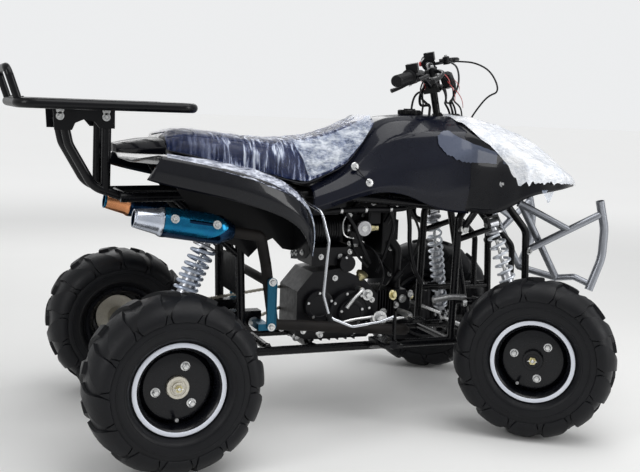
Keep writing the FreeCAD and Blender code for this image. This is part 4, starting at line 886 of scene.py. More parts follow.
frame_fixings = Shape()
CROSS_TUBES = (
    # forward of the rear axle, height, half the length, radius of the cross tube
    (330, 223, 98, 11), (470, 215, 98, 11), (910, 215, 98, 11), (1138, 215, 98, 11),
    (1000, 700, 99, 11), (-70, 646, 88, 11), (166, 551, 96, 11), (700, 640, 96, 9),
)
for x, z, half, radius in CROSS_TUBES:
    for sign in (-1, 1):
        add_weld(frame_fixings, rear(x, sign * half, z), (0, 1, 0), radius / 1000)
for sign in (-1, 1):
    for x, z in ((1000, 205), (1120, 205), (960, 335), (1148, 335)):
        for end in (-1, 1):
            frame_fixings.bolt(rear(x + end * 20.6, sign * 135, z), (end, 0, 0), 0.013, 1)
    for x, y, z in ((250, 100.5, 285), (292, 100.5, 285), (472, 61, 238), (430, 61, 238)):
        frame_fixings.bolt(rear(x, sign * y, z), (0, sign, 0), 0.012, 1)
    frame_fixings.bolt(rear(182, sign * 28.6, 522), (0, sign, 0), 0.014, 1)
    low, high = rear(926, sign * 110, 560), rear(1000, sign * 110, 712)
    for share in (0.3, 0.62):
        spot = low.lerp(high, share)
        frame_fixings.bent([spot - Vector((0, sign * 0.001, 0)), spot + Vector((0, sign * 0.016, 0))],
                           0.0035, 1, 8)
piece("frame_fixings", frame_fixings, [FRAME_BLACK, ZINC], "chassis")


# Engine: a horizontal single cylinder. The case and cylinder are cast aluminium lacquered
# black, the covers are held by rings of plated screws, and the fins are left sharp.

CAST_BLACK = patterned("cast_black", (0.0018, 0.0018, 0.0026), (0.006, 0.006, 0.008), (30, 5),
                       (60, 0.30, 0.52), (520, 3, 0.0005, 0.45), 0.18,
                       Coat_Weight=0.1, Coat_Roughness=0.3)
CAST_ALLOY = patterned("cast_alloy", (0.34, 0.345, 0.36), (0.58, 0.58, 0.59), (40, 5),
                       (90, 0.32, 0.52), (480, 3, 0.0003, 0.5), Metallic=0.85)
WIRE_BLACK = powder_black("wire_sleeve", 0.45, 500)
coat("engine_crankcase", CAST_BLACK)
coat("engine_cylinder", CAST_BLACK)


def add_bars(shape, bars):
    """Round bars and hoses: radius, finish, sides, then points in millimetres."""
    for radius, finish, sides, *points in bars:
        shape.bent([rear(*point) for point in points], radius, finish, sides)


engine = Shape()
COVER_RINGS = (
    # forward of the rear axle, height, radius of the screw circle, how many, face, side
    (583, 310, 59, 8, 96.2, -1), (583, 310, 34, 5, 104.2, -1), (489, 334, 37, 5, 90.2, -1),
    (583, 312, 53, 7, 98.2, 1), (583, 312, 29, 4, 103.2, 1),
)
for x, z, circle, count, face, sign in COVER_RINGS:
    for i in range(count):
        angle = 2 * math.pi * (i + 0.3) / count
        engine.bolt(rear(x + circle * math.cos(angle), sign * face, z + circle * math.sin(angle)),
                    (0, sign, 0), 0.008, 1, washer=False)
    engine.at(rear(x, sign * (face - 0.2), z), (0, sign, 0))
    engine.turned(((circle / 1000 + 0.0062, 0), (circle / 1000 + 0.0062, 0.0012),
                   (circle / 1000 + 0.0048, 0.0018), (circle / 1000 - 0.0048, 0.0018),
                   (circle / 1000 - 0.0062, 0.0008), (circle / 1000 - 0.0062, 0)), 0, 48)
for sign in (-1, 1):
    for x, z in ((447, 258), (462, 352), (540, 410), (612, 376), (660, 342), (664, 282),
                 (600, 246), (500, 244)):
        engine.bolt(rear(x, sign * 74.2, z), (0, sign, 0), 0.009, 1)
engine.home()
for i in range(7):
    x = 452 + i * 26
    engine.box(rear(x, -70, 226), rear(x + 4, 70, 232.5), 0)
for y in (-33, 33):
    for z in (277, 343):
        engine.bolt(rear(793.5, y, z), (1, 0, 0), 0.012, 1)
engine.at(rear(807, 0, 314), (1, 0, 0))
engine.turned(((0, 0), (0.030, 0), (0.030, 0.003), (0.014, 0.006), (0.012, 0.012),
               (0, 0.012)), 3, 32)
engine.at(rear(575, -22, 430.5), (0, 0, 1))
engine.bent([(0, -0.048, 0.022), (0, 0.060, 0.022)], 0.024, 0, 28)
engine.bent([(0, -0.052, 0.022), (0, -0.048, 0.022)], 0.013, 1, 20)
engine.bolt(rear(570, -78, 468), (0, -1, 0.4), 0.008, 1)
engine.at(rear(622, -60, 402), (0.35, -0.5, 1))
engine.turned(((0, 0), (0.014, 0), (0.014, 0.014), (0.018, 0.015), (0.018, 0.022),
               (0.010, 0.026), (0, 0.026)), 4, 20)
engine.bolt(rear(634, -97, 362), (0, -1, 0), 0.017, 1)
engine.home()
add_bars(engine, (
    (0.008, 1, 16, (612, -74, 378), (612, -108, 378)),
    ((0.006, 0.005, 0.007), 1, 12, (612, -108, 378), (584, -116, 356), (560, -118, 330)),
    (0.009, 5, 14, (760, -52, 300), (774, -96, 296), (762, -104, 294)),
    ((0.008, 0.011, 0.009), 2, 14, (748, 4, 362), (752, -30, 392), (770, -40, 418)),
    (0.0038, 2, 10, (770, -40, 418), (800, -58, 470), (806, -72, 540), (770, -78, 610))))
SENSORS = (
    # forward of the rear axle, to the side, height, facing, across, finish
    (735, -57, 350, (0.3, -1, 0.2), 0.016, 4), (768, -57, 338, (0, -1, 0), 0.013, 1),
    (750, -50, 318, (0, -1, 0.3), 0.011, 5), (706, -57, 300, (0, -1, 0), 0.012, 1),
    (792, -60, 352, (0.4, -1, 0), 0.012, 1), (806, -36, 338, (1, -0.6, 0), 0.011, 4),
)
for x, y, z, facing, across, finish in SENSORS:
    engine.bolt(rear(x, y, z), facing, across, finish)
piece("engine_fittings", engine, [CAST_BLACK, ZINC, WIRE_BLACK, CAST_ALLOY, BRASS, GREY_ZINC],
      "chassis")

pedals = Shape()
pedals.bolt(rear(664, -121, 296), (0, -1, 0), 0.024, 1)
add_bars(pedals, (
    (0.014, 0, 20, (664, -108, 296), (664, -121, 296)),
    ((0.007, 0.006, 0.0055, 0.0065), 1, 12, (640, -117, 300), (690, -118, 291),
     (736, -132, 297), (752, -168, 300)),
    (0.0045, 1, 10, (640, -117, 300), (560, -116, 290), (470, -116, 258)),
    (0.009, 2, 16, (842, -112, 340), (900, -120, 350), (946, -118, 346)),
    (0.006, 1, 12, (640, 117, 300), (700, 120, 292), (744, 150, 300)),
    (0.009, 0, 14, (744, 146, 300), (744, 190, 300))))
pedals.box(rear(736, -196, 296), rear(776, -164, 304), 0)
for i in range(4):
    pedals.box(rear(740 + i * 9, -195, 303.8), rear(744 + i * 9, -165, 307), 0)
for sign in (-1, 1):
    for i in range(9):
        pedals.box(rear(604 + i * 5.4, sign * 198, 261.6), rear(606.4 + i * 5.4, sign * 292, 265), 0)
    pedals.bolt(rear(626, sign * 210, 261.8), (0, 0, 1), 0.012, 1)
piece("foot_controls", pedals, [FRAME_BLACK, ZINC, GREY_ZINC], "chassis")


# Intake: an alloy carburettor with a round cap on its choke side, a black manifold and a
# ribbed rubber air filter. Fuel hose, breather hose and the throttle cable end at it.

coat("carburettor", CAST_BLACK)
coat("air_filter", PLASTIC_BLACK)

carb = Shape()
carb.at(rear(627, -62, 553), (0, -1, 0))
carb.turned(((0.0, 0.0), (0.020, 0.0), (0.0225, 0.002), (0.0225, 0.010), (0.0215, 0.0125),
             (0.0165, 0.0130), (0.0160, 0.0118), (0.0095, 0.0118), (0.0090, 0.0130),
             (0.0050, 0.0135), (0, 0.0135)), [0, 0, 0, 0, 0, 0, 0, 0, 1, 1, 1], 40)
carb.at(rear(651, -64, 553), (1, -0.15, 0.02))
carb.turned(((0, 0), (0.0085, 0), (0.0085, 0.010), (0.0068, 0.012), (0.0068, 0.022),
             (0, 0.022)), 2, 6)
for x, z in ((604, 586), (646, 586), (604, 503), (646, 503)):
    carb.bolt(rear(x - 3, -24, z), (0, -1, 0), 0.007, 1)
carb.at(rear(625, 0, 587), (0, 0, 1))
carb.turned(((0, 0), (0.018, 0), (0.018, 0.012), (0.015, 0.014), (0.006, 0.016), (0.006, 0.028),
             (0, 0.028)), 3, 24)
carb.at(rear(625, 0, 501), (0, 0, -1))
carb.turned(((0, 0), (0.017, 0), (0.015, 0.010), (0.006, 0.012), (0.005, 0.018), (0, 0.018)),
            0, 24)
carb.bolt(rear(625, 0, 484), (0, 0, -1), 0.009, 2, washer=False)
for i in range(11):
    carb.at(rear(482 + i * 7.6, 0, 545), (1, 0, 0))
    carb.turned(((0.0438, 0), (0.0462, 0.0012), (0.0462, 0.0032), (0.0438, 0.0044)), 3, 40)
for x in (567, 597):
    carb.at(rear(x, 0, 545), (1, 0, 0))
    carb.turned(((0.0204, 0), (0.0222, 0), (0.0222, 0.007), (0.0204, 0.007)), 1, 32)
    carb.bolt(rear(x + 3.5, -22, 556), (0, -0.4, 1), 0.007, 1, washer=False)
carb.home()
add_bars(carb, (
    (0.0024, 1, 8, (573, -66, 597), (560, -70, 568), (566, -70, 534), (596, -68, 524)),
    (0.0028, 1, 8, (573, -66, 597), (596, -60, 604), (618, -46, 596)),
    (0.0042, 4, 10, (604, -30, 520), (596, -64, 500), (612, -74, 470), (640, -78, 440)),
    (0.0035, 4, 10, (640, -30, 505), (668, -70, 480), (690, -82, 420), (676, -84, 372)),
    (0.0085, 3, 14, (600, -30, 600), (622, -66, 640), (678, -70, 656), (704, -64, 640),
     (714, -62, 596), (700, -60, 566))))
carb.box(rear(642, -66, 566), rear(680, -38, 610), 3)
carb.box(rear(646, -68, 574), rear(676, -66, 602), 4)
piece("carburettor_fittings", carb,
      [CAST_ALLOY, ZINC, BRASS, PLASTIC_BLACK, WIRE_BLACK], "chassis", sharp=36)


# Exhaust: a header along the right side and two mufflers. Each has a spun cone at its tip,
# a dark canister and an anodised heat shield with a slot, held by two screws.

def spun_cone(name, dark, light):
    return patterned(name, dark, light, (30, 3), (60, 0.18, 0.34), (30, 3, 0.0001, 0.3),
                     Metallic=0.9)


EXHAUST_BLACK = patterned("exhaust_black", (0.005, 0.005, 0.006), (0.020, 0.017, 0.015),
                          (16, 6), None, (300, 3, 0.0003, 0.4), 0.15, Roughness=0.55)
CONE_SILVER = spun_cone("cone_silver", (0.50, 0.55, 0.66), (0.78, 0.82, 0.90))
CONE_COPPER = spun_cone("cone_copper", (0.62, 0.22, 0.09), (0.86, 0.42, 0.20))
SHIELD_BLUE = spun_cone("shield_blue", (0.008, 0.085, 0.24), (0.012, 0.22, 0.36))
CANISTER = spun_cone("canister_dark", (0.004, 0.020, 0.060), (0.010, 0.042, 0.095))
coat("exhaust_pipe", EXHAUST_BLACK)
MUFFLER_SLOPE = math.radians(8.4)
MUFFLER_RADIUS = 0.038
SHIELD_GAP = 0.0052
SHIELD_THICK = 0.0016


def make_muffler(sign):
    """The tip faces back, the cone and canister are one turned form, the shield lies outside."""
    shape = Shape()
    tip = rear(-74, sign * 220, 607)
    axis = Vector((math.cos(MUFFLER_SLOPE), 0, -math.sin(MUFFLER_SLOPE)))
    side = Vector((0, 1, 0))
    upward = axis.cross(side)
    shape.at(tip, axis)
    radius = MUFFLER_RADIUS
    profile = ((0, 0.050), (0.020, 0.050), (0.020, 0.0006), (0.0208, 0), (0.0225, 0),
               (0.0232, 0.0008), (0.0232, 0.006), (0.0240, 0.0065), (0.0330, 0.060),
               (0.0345, 0.064), (0.0372, 0.068), (radius, 0.072), (radius, 0.082),
               (radius - 0.0006, 0.083), (radius - 0.0006, 0.216), (radius, 0.217),
               (radius, 0.226), (radius - 0.0012, 0.229), (0.021, 0.261), (0.020, 0.262),
               (0, 0.262))
    shape.turned(profile, [2, 2, 3, 3, 3, 3, 0, 0, 1, 1, 1, 2, 2, 2, 2, 2, 2, 2, 2, 2, 2], 48)
    rows_out = []
    spread = math.radians(84)
    middle = math.atan2(sign * 0.9, 0.35)
    for i in range(25):
        share = i / 24
        along = 0.072 + 0.166 * share
        taper = 1 - 0.10 * (1 - share) ** 6 - 0.88 * max(0, (share - 0.62) / 0.38) ** 2
        rows_out.append([(along, middle + spread * taper * (k / 16 - 0.5) * 2 * 0.62)
                         for k in range(17)])
    grid = [[(radius + SHIELD_GAP - max(0, along - 0.222) * 0.4, angle, along)
             for along, angle in row] for row in rows_out]
    shape.home()

    def on_shield(out, angle, along):
        return (tip + axis * along + side * (out * math.sin(angle))
                + upward * (out * math.cos(angle)))

    top = [[on_shield(*spot) for spot in row] for row in grid]
    low = [[on_shield(out - SHIELD_THICK, angle, along) for out, angle, along in row] for row in grid]
    slot_rows, slot_cols = range(9, 19), (7, 8)
    for rows, flip in ((top, False), (low, True)):
        verts = [[shape.mesh.verts.new(point) for point in row] for row in rows]
        for i in range(len(rows) - 1):
            for k in range(len(rows[0]) - 1):
                if i in slot_rows and k in slot_cols:
                    continue
                corners = (verts[i][k], verts[i][k + 1], verts[i + 1][k + 1], verts[i + 1][k])
                face = shape.mesh.faces.new(corners[::-1] if flip else corners)
                face.material_index = 4
    out = side * math.sin(middle) + upward * math.cos(middle)
    for along in (0.096, 0.206):
        shape.bolt(tip + axis * along + out * (radius + SHIELD_GAP), out, 0.012, 5)
    return shape


for side, sign in SIDES:
    tip_finish = CONE_SILVER if sign < 0 else CONE_COPPER
    piece("muffler_shielded_" + side, make_muffler(sign),
          [tip_finish, tip_finish, CANISTER, CONE_SILVER if sign < 0 else SHIELD_BLUE,
           SHIELD_BLUE, ZINC], "chassis", replaces=("muffler_" + side,))


# Electrics: a tray under the air filter, a plate above the engine with a finned regulator
# ahead of it, a screwed plate at the left and a taped wiring loom. They stay out of the
# frame's side window. The screwed plate at the left is painted shade: a black sheet that
# fills the engine bay where it lies in shade.

bay = Shape()
bay.box(rear(472, -58, 444), rear(600, 58, 497), 0)
bay.box(rear(700, -40, 470), rear(712, 70, 592), 0)
bay.box(rear(712, -34, 510), rear(742, 34, 575), 0)
for i in range(7):
    bay.box(rear(742, -32 + 10 * i, 512), rear(756, -28 + 10 * i, 573), 0)
# The screwed plate at the left is painted shade: a black sheet standing in for the engine bay's
# shade.
bay.stand = Matrix.Translation(rear(0, 74, 0)) @ Matrix(
    ((1, 0, 0), (0, 0, 1), (0, 1, 0))).to_4x4()
for outline in (((472, 446), (800, 446), (800, 600), (776, 628), (690, 636), (560, 626),
                 (472, 604)), ((690, 446), (690, 376), (800, 376), (800, 446))):
    bay.plate([(x / 1000, z / 1000) for x, z in outline], 0.0025, 0)
bay.home()
for x, z in ((490, 590), (600, 606), (720, 612), (786, 590), (786, 470), (786, 390)):
    bay.bolt(rear(x, 73.6, z), (0, -1, 0), 0.009, 1)
add_bars(bay, (
    (0.0045, 2, 10, (722, 44, 500), (722, 62, 492), (740, 66, 450), (770, 30, 400)),
    (0.0080, 2, 12, (440, -66, 594), (520, -84, 606), (620, -90, 610), (740, -84, 612),
     (860, -66, 640)),
    (0.0055, 2, 10, (560, -88, 600), (590, -86, 560), (620, -80, 500), (650, -70, 450)),
    (0.0050, 2, 10, (700, -86, 606), (716, -80, 560), (704, -60, 480), (680, -58, 420)),
    (0.0065, 2, 10, (760, -84, 612), (772, -74, 560), (780, -66, 500), (800, -62, 430),
     (830, -60, 380))))
for x, y, z in ((500, -59, 470), (560, -59, 470), (590, -59, 484)):
    bay.bolt(rear(x, y, z), (0, -1, 0), 0.009, 1)
for x, y, z in ((620, -90, 610), (700, -88, 611), (545, -86, 607)):
    bay.at(rear(x, y, z), (1, 0, 0))
    bay.turned(((0.0084, -0.004), (0.0092, -0.004), (0.0092, 0.004), (0.0084, 0.004)), 1, 20)
    bay.home()
piece("electrics_loom_and_shade_plate", bay, [PLASTIC_BLACK, ZINC, WIRE_BLACK], "chassis",
      bevel=0.0015)


# Guard plates: anodised aluminium, upright outside the swingarm bolt, with rounded ends, a
# raised rim and two screws with washers, each on a strap from the bolt.

def anodised_blue():
    finish = Finish("anodised_blue", Metallic=0.8)
    brushed = finish.grain(40, 4, place=finish.stretched(8, 8, 1))
    finish.feed("Base Color", finish.mix(brushed, (0.006, 0.060, 0.120), (0.018, 0.120, 0.190)))
    finish.feed("Roughness", finish.ramp(brushed, (0.3, 0.24), (0.8, 0.4)))
    return finish.bumps(brushed, 0.0001, 0.4)


ANODISED_BLUE = anodised_blue()
plates = Shape()
for sign in (-1, 1):
    plates.box(rear(278, sign * 112.2 if sign > 0 else -176, 291),
               rear(307, sign * 176 if sign > 0 else -112.2, 309), 0)
    corners = []
    for middle, start in ((424, 0), (300, math.pi)):
        for i in range(9):
            angle = start + math.pi * i / 8
            corners.append((0.0138 * math.cos(angle), (middle - 362) / 1000 + 0.0118
                            * math.sin(angle)))
    plates.stand = Matrix.Translation(rear(314, sign * 172.2, 362)) @ Matrix(
        ((sign, 0, 0), (0, 0, sign), (0, 1, 0))).to_4x4()
    plates.plate(corners, 0.0060, 0)
    rim = [(x * 0.94, y * 0.985) for x, y in corners]
    inner = [(x * 0.70, y * 0.93) for x, y in corners]
    plates.surface([[(x, y, 0.0060) for x, y in rim], [(x * 0.985, y, 0.0077) for x, y in rim],
                    [(x * 1.06, y, 0.0077) for x, y in inner], [(x, y, 0.0061) for x, y in inner]],
                   0, ring=True)
    plates.home()
    for z in (424, 300):
        plates.bolt(rear(314, sign * 178.2, z), (0, sign, 0), 0.0115, 1)
piece("guard_plates_blue", plates, [ANODISED_BLUE, ZINC], "chassis",
      replaces=("guard_plates",))


# Bodywork: thin moulded skins, gloss navy black, in crisp facets. They come new from the
# crate, so most of them still wear their clear protective film, wrinkled and pale where it
# lies loose and catches the light.

def body_gloss(name, dark, light):
    return patterned(name, dark, light, (3, 5), (50, 0.24, 0.38), (6, 2, 0.0008, 0.25), 0.15,
                     Coat_Weight=0.4, Coat_Roughness=0.05)


def film(name, dark, light, low, high, along=(1, 1, 1), wrinkle=26):
    """Clear plastic film: nearly unseen where it lies flat, milky in its folds. The pale colour of
    the folds is partly the film's own milkiness and partly a painted highlight of its sheen.
    """
    finish = Finish(name, Roughness=0.16)
    finish.feed("Specular IOR Level", 0.7)
    place = finish.stretched(*along)
    folds = finish.grain(wrinkle, 5, 0.62, place=place)
    fine = finish.grain(wrinkle * 4, 3, place=place)
    share = finish.ramp(folds * 0.75 + fine * 0.25, (0.36, 0.0), (0.62, 1.0))
    finish.feed("Base Color", finish.mix(share, dark, light))
    finish.feed("Alpha", share * (high - low) + low)
    return finish.bumps(folds * 1.6 + fine * 0.5, 0.006, 0.9)


NAVY_GLOSS = body_gloss("body_navy_gloss", (0.0012, 0.0018, 0.0060), (0.0035, 0.0052, 0.0150))
FENDER_GLOSS = body_gloss("fender_black_gloss", (0.0010, 0.0012, 0.0026),
                          (0.0030, 0.0036, 0.0070))


SKIN_THICK = 0.0035


def skin(rows, finishes, name, replaces, crease=0.72, level=2):
    """A moulded sheet through rows of half sections, from the middle out, mirrored.

    Each row is (forward, ((to the side, height), ...)) in millimetres from the rear axle. A
    point may have its own place forward as a third number."""
    shape = Shape()
    grid = []
    for forward, half in rows:
        points = [rear(point[2] if len(point) > 2 else forward, point[0], point[1])
                  for point in half]
        right = [Vector((p.x, -p.y, p.z)) for p in points]
        grid.append(list(reversed(points)) + [p for p in right if abs(p.y) > 1e-6])
    verts = shape.surface(grid)
    creases = shape.mesh.edges.layers.float.new("crease_edge")
    for i, row in enumerate(verts):
        for k, vert in enumerate(row):
            if 0 < k < len(row) - 1 and i < len(verts) - 1:
                edge = shape.mesh.edges.get((vert, verts[i + 1][k]))
                if edge:
                    edge[creases] = crease
    data = bpy.data.meshes.new(name)
    shape.mesh.to_mesh(data)
    data.polygons.foreach_set("use_smooth", [True] * len(data.polygons))
    for finish in finishes:
        data.materials.append(finish.material)
    item = link_new(name, data)
    smooth = item.modifiers.new("smooth", "SUBSURF")
    smooth.levels = smooth.render_levels = level
    smooth.boundary_smooth = "PRESERVE_CORNERS"
    sheet = item.modifiers.new("sheet", "SOLIDIFY")
    sheet.thickness = SKIN_THICK
    sheet.offset = -1
    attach(item, "chassis")
    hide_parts(replaces)


REAR_SKIN = (
    # forward, then (to the side, height) from the middle out: top, shoulder, skirt
    (-58, ((0, 742), (90, 742), (180, 754, -50), (285, 768, -26), (303, 765, -22),
           (309, 738, -40), (305, 709, -58))),
    (-8, ((0, 738), (90, 738), (180, 750), (285, 767), (304, 763), (311, 730), (307, 694))),
    (120, ((0, 722), (90, 722), (180, 736), (281, 746), (303, 741), (312, 705), (307, 668))),
    (211, ((0, 705), (90, 705), (180, 716), (275, 727), (299, 720), (309, 684), (303, 646))),
    (300, ((0, 690), (90, 690), (180, 695), (262, 696), (287, 687), (299, 652), (295, 616))),
    (350, ((0, 684), (90, 684), (170, 680), (247, 668), (272, 656), (286, 620), (283, 585))),
    (382, ((0, 680), (90, 680), (152, 670), (228, 642), (256, 620), (272, 580), (269, 545))),
    (396, ((0, 678), (90, 678), (140, 660), (208, 618), (240, 590), (258, 550), (254, 505))),
)
skin(REAR_SKIN, [FENDER_GLOSS], "rear_fender_skin", "rear_fender")

arch_walls = Shape()
ARCH_WALL = ((116, 673), (160, 669), (228, 640), (254, 604), (262, 560), (252, 512),
             (228, 496), (150, 482), (116, 478))
for sign in (-1, 1):
    corners = [rear(386, sign * y, z) for y, z in ARCH_WALL]
    arch_walls.closed([corners, [corner + Vector((0.004, 0, 0)) for corner in corners]])
    for y, z in ((132, 496), (160, 500), (205, 508), (132, 650)):
        arch_walls.bolt(rear(386, sign * y, z), (-1, 0, 0), 0.009, 1)
    arch_walls.bent([rear(378, sign * 124, 640), rear(378, sign * 240, 622),
                     rear(380, sign * 250, 560)], 0.003, 0, 8)
    for x, y, z in ((120, 240, 742), (250, 232, 714), (20, 250, 742)):
        arch_walls.at(rear(x, sign * y, z), (0, 0, 1))
        arch_walls.turned(((0, 0), (0.0095, 0), (0.0095, 0.001), (0.007, 0.003), (0, 0.0035)),
                          1, 20)
    arch_walls.home()
    # A black liner at each side, stretched down under the fender: partly an inner liner, partly
    # painted shade filling the dark under the fender.
    shade_liner = ((18, 736), (41, 704), (66, 660), (97, 618), (130, 566), (170, 536), (226, 516),
             (262, 484), (300, 522), (330, 536), (360, 506), (392, 500), (392, 676), (250, 690),
             (120, 718))
    outline = [rear(x, sign * 117, z) for x, z in shade_liner]
    arch_walls.closed([outline, [corner + Vector((0, sign * 0.002, 0)) for corner in outline]])
piece("rear_arch_walls", arch_walls, [PLASTIC_BLACK, ZINC], "chassis")

# Film for the rolled edges, seat panels and nose flaps: pale partly from its milkiness, partly from
# painted sheen.
MILKY_FILM_AND_SHEEN = film("milky_film_and_painted_sheen", (0.30, 0.38, 0.56), (0.85, 0.90, 0.98), 0.30, 0.72,
                  along=(1.0, 1.0, 2.2), wrinkle=20)
# Film on the fenders' top edges: its near-white is a painted highlight of the lit edge.
EDGE_FILM_HIGHLIGHT = film("fender_edge_film_painted_highlight", (0.08, 0.11, 0.24), (0.84, 0.88, 1.0), 0.20, 0.90,
                 along=(0.35, 1.8, 1.8), wrinkle=30)


BAND_ROWS = 90
BAND_WIDE = 0.034
BAND_LIFT = 0.0032
BAND_WRINKLE = 0.0016


def film_highlight_band(name, line):
    """A strip of film along a row of (place, outward, across) with small standing wrinkles. Its pale
    colour is a painted highlight along the lit top edge of a fender.
    """
    shape = Shape()
    grid = []
    for i in range(BAND_ROWS):
        at = (len(line) - 1) * i / (BAND_ROWS - 1)
        low = min(int(at), len(line) - 2)
        t = at - low
        spot = [line[low][k].lerp(line[low + 1][k], t) for k in range(3)]
        row = []
        for k in range(9):
            share = k / 8 - 0.5
            ripple = noise.noise(Vector((i * 0.34, k * 0.9, len(name)))) * BAND_WRINKLE
            ripple += noise.noise(Vector((i * 1.1, k * 1.7, 4.0))) * BAND_WRINKLE * 0.6
            edge = 1 + 0.10 * noise.noise(Vector((i * 0.5, 9.0 * (share > 0), 2.0)))
            swell = 0.40 + 0.75 * math.sin(math.pi * min(1, 1.25 * i / BAND_ROWS))
            row.append(spot[0] + spot[2] * (BAND_WIDE * share * edge * swell)
                       + spot[1] * (BAND_LIFT + ripple))
        grid.append(row)
    shape.surface(grid)
    return piece(name, shape, [EDGE_FILM_HIGHLIGHT], "chassis", sharp=70)


# A band of film with a painted highlight along the top edge of each fender.
for side, sign in SIDES:
    line = []
    for forward, half in REAR_SKIN[1:]:
        (y0, z0), (y1, z1) = half[3][:2], half[4][:2]
        edge = rear(forward, sign * (y0 + y1) / 2, (z0 + z1) / 2)
        line.append((edge, Vector((0, sign * 0.75, 0.66)), Vector((0, sign * 0.66, -0.75))))
    item = film_highlight_band("fender_film_" + side, line)


edge_lines = Shape()
for sign in (-1, 1):
    edge_lines.bent([rear(356, sign * 270, 662), rear(380, sign * 262, 630),
                     rear(394, sign * 262, 590), rear(398, sign * 261, 550),
                     rear(396, sign * 256, 506)], (0.0008, 0.0022, 0.0018, 0.0014, 0.0008), 0, 8)
piece("fender_film_rolled_edge", edge_lines, [MILKY_FILM_AND_SHEEN], "chassis")


# Seat: moulded foam under stitched black vinyl, padded by simulation, with a piped seam round
# its top. It rises to the tank in front and narrows to a tail behind. A clear film is still
# stretched over it.

def vinyl():
    finish = Finish("seat_vinyl_black", Coat_Weight=0.15, Coat_Roughness=0.3)
    finish.feed("Specular IOR Level", 0.35)
    pores = finish.cells(520, "DISTANCE_TO_EDGE")
    finish.feed("Base Color", finish.mix(finish.grain(8, 4), (0.0045, 0.005, 0.008),
                                         (0.011, 0.012, 0.018)))
    finish.feed("Roughness", finish.ramp(finish.grain(40), (0.3, 0.38), (0.8, 0.52)))
    return finish.bumps(pores, 0.0006, 0.5)


VINYL = vinyl()
SEAT_SECTIONS = (
    # forward, then (to the side, height) round the right half from the top's middle
    (36, ((0, 808), (60, 807), (92, 802), (114, 788), (119, 770), (84, 760))),
    (70, ((0, 817), (70, 815), (104, 808), (128, 790), (130, 764), (90, 754))),
    (110, ((0, 821), (78, 818), (112, 808), (134, 786), (135, 756), (94, 744))),
    (200, ((0, 812), (80, 809), (114, 800), (136, 776), (137, 736), (96, 722))),
    (290, ((0, 802), (80, 799), (112, 790), (134, 764), (137, 716), (98, 704))),
    (360, ((0, 800), (76, 797), (108, 786), (128, 752), (133, 698), (96, 690))),
    (419, ((0, 804), (70, 800), (100, 784), (122, 744), (128, 690), (92, 684))),
    (480, ((0, 816), (62, 811), (92, 792), (116, 750), (122, 712), (86, 706))),
    (541, ((0, 836), (54, 831), (82, 812), (104, 780), (112, 742), (74, 738))),
    (595, ((0, 858), (48, 854), (72, 840), (88, 818), (94, 798), (64, 796))),
    (638, ((0, 874), (42, 872), (62, 867), (76, 862), (78, 857), (54, 855))),
)


def mirrored_form(sections):
    """A closed form through half sections, each joined to its mirror image."""
    rows = []
    for forward, half in sections:
        left = [rear(forward, y, z) for y, z in half]
        right = [rear(forward, -y, z) for y, z in reversed(half[1:])]
        rows.append(left + right)
    return Shape().closed(rows)


def seat_mesh():
    shape = mirrored_form(SEAT_SECTIONS)
    bmesh.ops.recalc_face_normals(shape.mesh, faces=shape.mesh.faces)
    data = bpy.data.meshes.new("seat_form")
    shape.mesh.to_mesh(data)
    return data


def padded_mesh(source, name, voxel, pressure, cap):
    """Blow up a copy of the form as cloth, held within a cap, and give back its mesh."""
    form = link_new(name, source.copy())
    smooth = form.modifiers.new("smooth", "SUBSURF")
    smooth.levels = smooth.render_levels = 2
    remesh = form.modifiers.new("voxels", "REMESH")
    remesh.mode = "VOXEL"
    remesh.voxel_size = voxel
    solid = bpy.data.meshes.new_from_object(form.evaluated_get(
        bpy.context.evaluated_depsgraph_get()))
    bpy.data.objects.remove(form)
    blown = link_new(name, solid)
    cloth = blown.modifiers.new("cloth", "CLOTH")
    cloth.settings.use_pressure = True
    cloth.settings.uniform_pressure_force = pressure
    cloth.settings.effector_weights.gravity = 0
    before = [vert.co.copy() for vert in solid.vertices]
    for step in range(1, 21):
        scene.frame_set(step)
    after = blown.evaluated_get(bpy.context.evaluated_depsgraph_get()).to_mesh()
    places = []
    for start, vert in zip(before, after.vertices):
        move = vert.co - start
        if move.length > cap:
            move *= cap / move.length
        places.append(start + move)
    scene.frame_set(1)
    bpy.data.objects.remove(blown)
    for vert, spot in zip(solid.vertices, places):
        vert.co = spot
    return solid


seat_data = padded_mesh(seat_mesh(), "seat_padding", 0.006, 4, 0.006)
seat_data.polygons.foreach_set("use_smooth", [True] * len(seat_data.polygons))
seat_data.materials.clear()
seat_data.materials.append(VINYL.material)
seat_item = link_new("seat_cushion", seat_data)
soften = seat_item.modifiers.new("soften", "SMOOTH")
soften.iterations = 4
soften.factor = 0.5
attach(seat_item, "chassis")
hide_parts("seat")

seams = Shape()
for sign in (-1, 1):
    for index, lift in ((2, 0.0035), (4, 0.0030)):
        points = []
        for forward, half in SEAT_SECTIONS:
            y, z = half[index]
            points.append(rear(forward, sign * (y + 1.4), z + (2.2 if index == 2 else 0)))
        seams.bent(points, 0.0019, 0, 8, 6)
for place in (110, 360):
    half = next(row for x, row in SEAT_SECTIONS if x == place)
    points = [rear(place, y, z + 2.6) for y, z in reversed(half[:3])]
    points += [rear(place, -y, z + 2.6) for y, z in half[1:3]]
    seams.bent(points, 0.0016, 0, 8, 6)
piece("seat_piping", seams, [VINYL], "chassis")

TAIL_SECTIONS = (
    (-90, ((0, 783), (34, 782), (50, 777), (58, 768), (54, 761), (30, 759))),
    (-60, ((0, 789), (40, 788), (62, 782), (78, 772), (72, 761), (36, 757))),
    (-20, ((0, 796), (52, 795), (78, 787), (96, 774), (92, 760), (46, 756))),
    (33, ((0, 801), (60, 799), (84, 793), (108, 779), (106, 760), (58, 756))),
)


piece("seat_tail_cap", mirrored_form(TAIL_SECTIONS), [FENDER_GLOSS], "chassis",
      sharp=50, bevel=0.003, replaces=("seat_tail",))


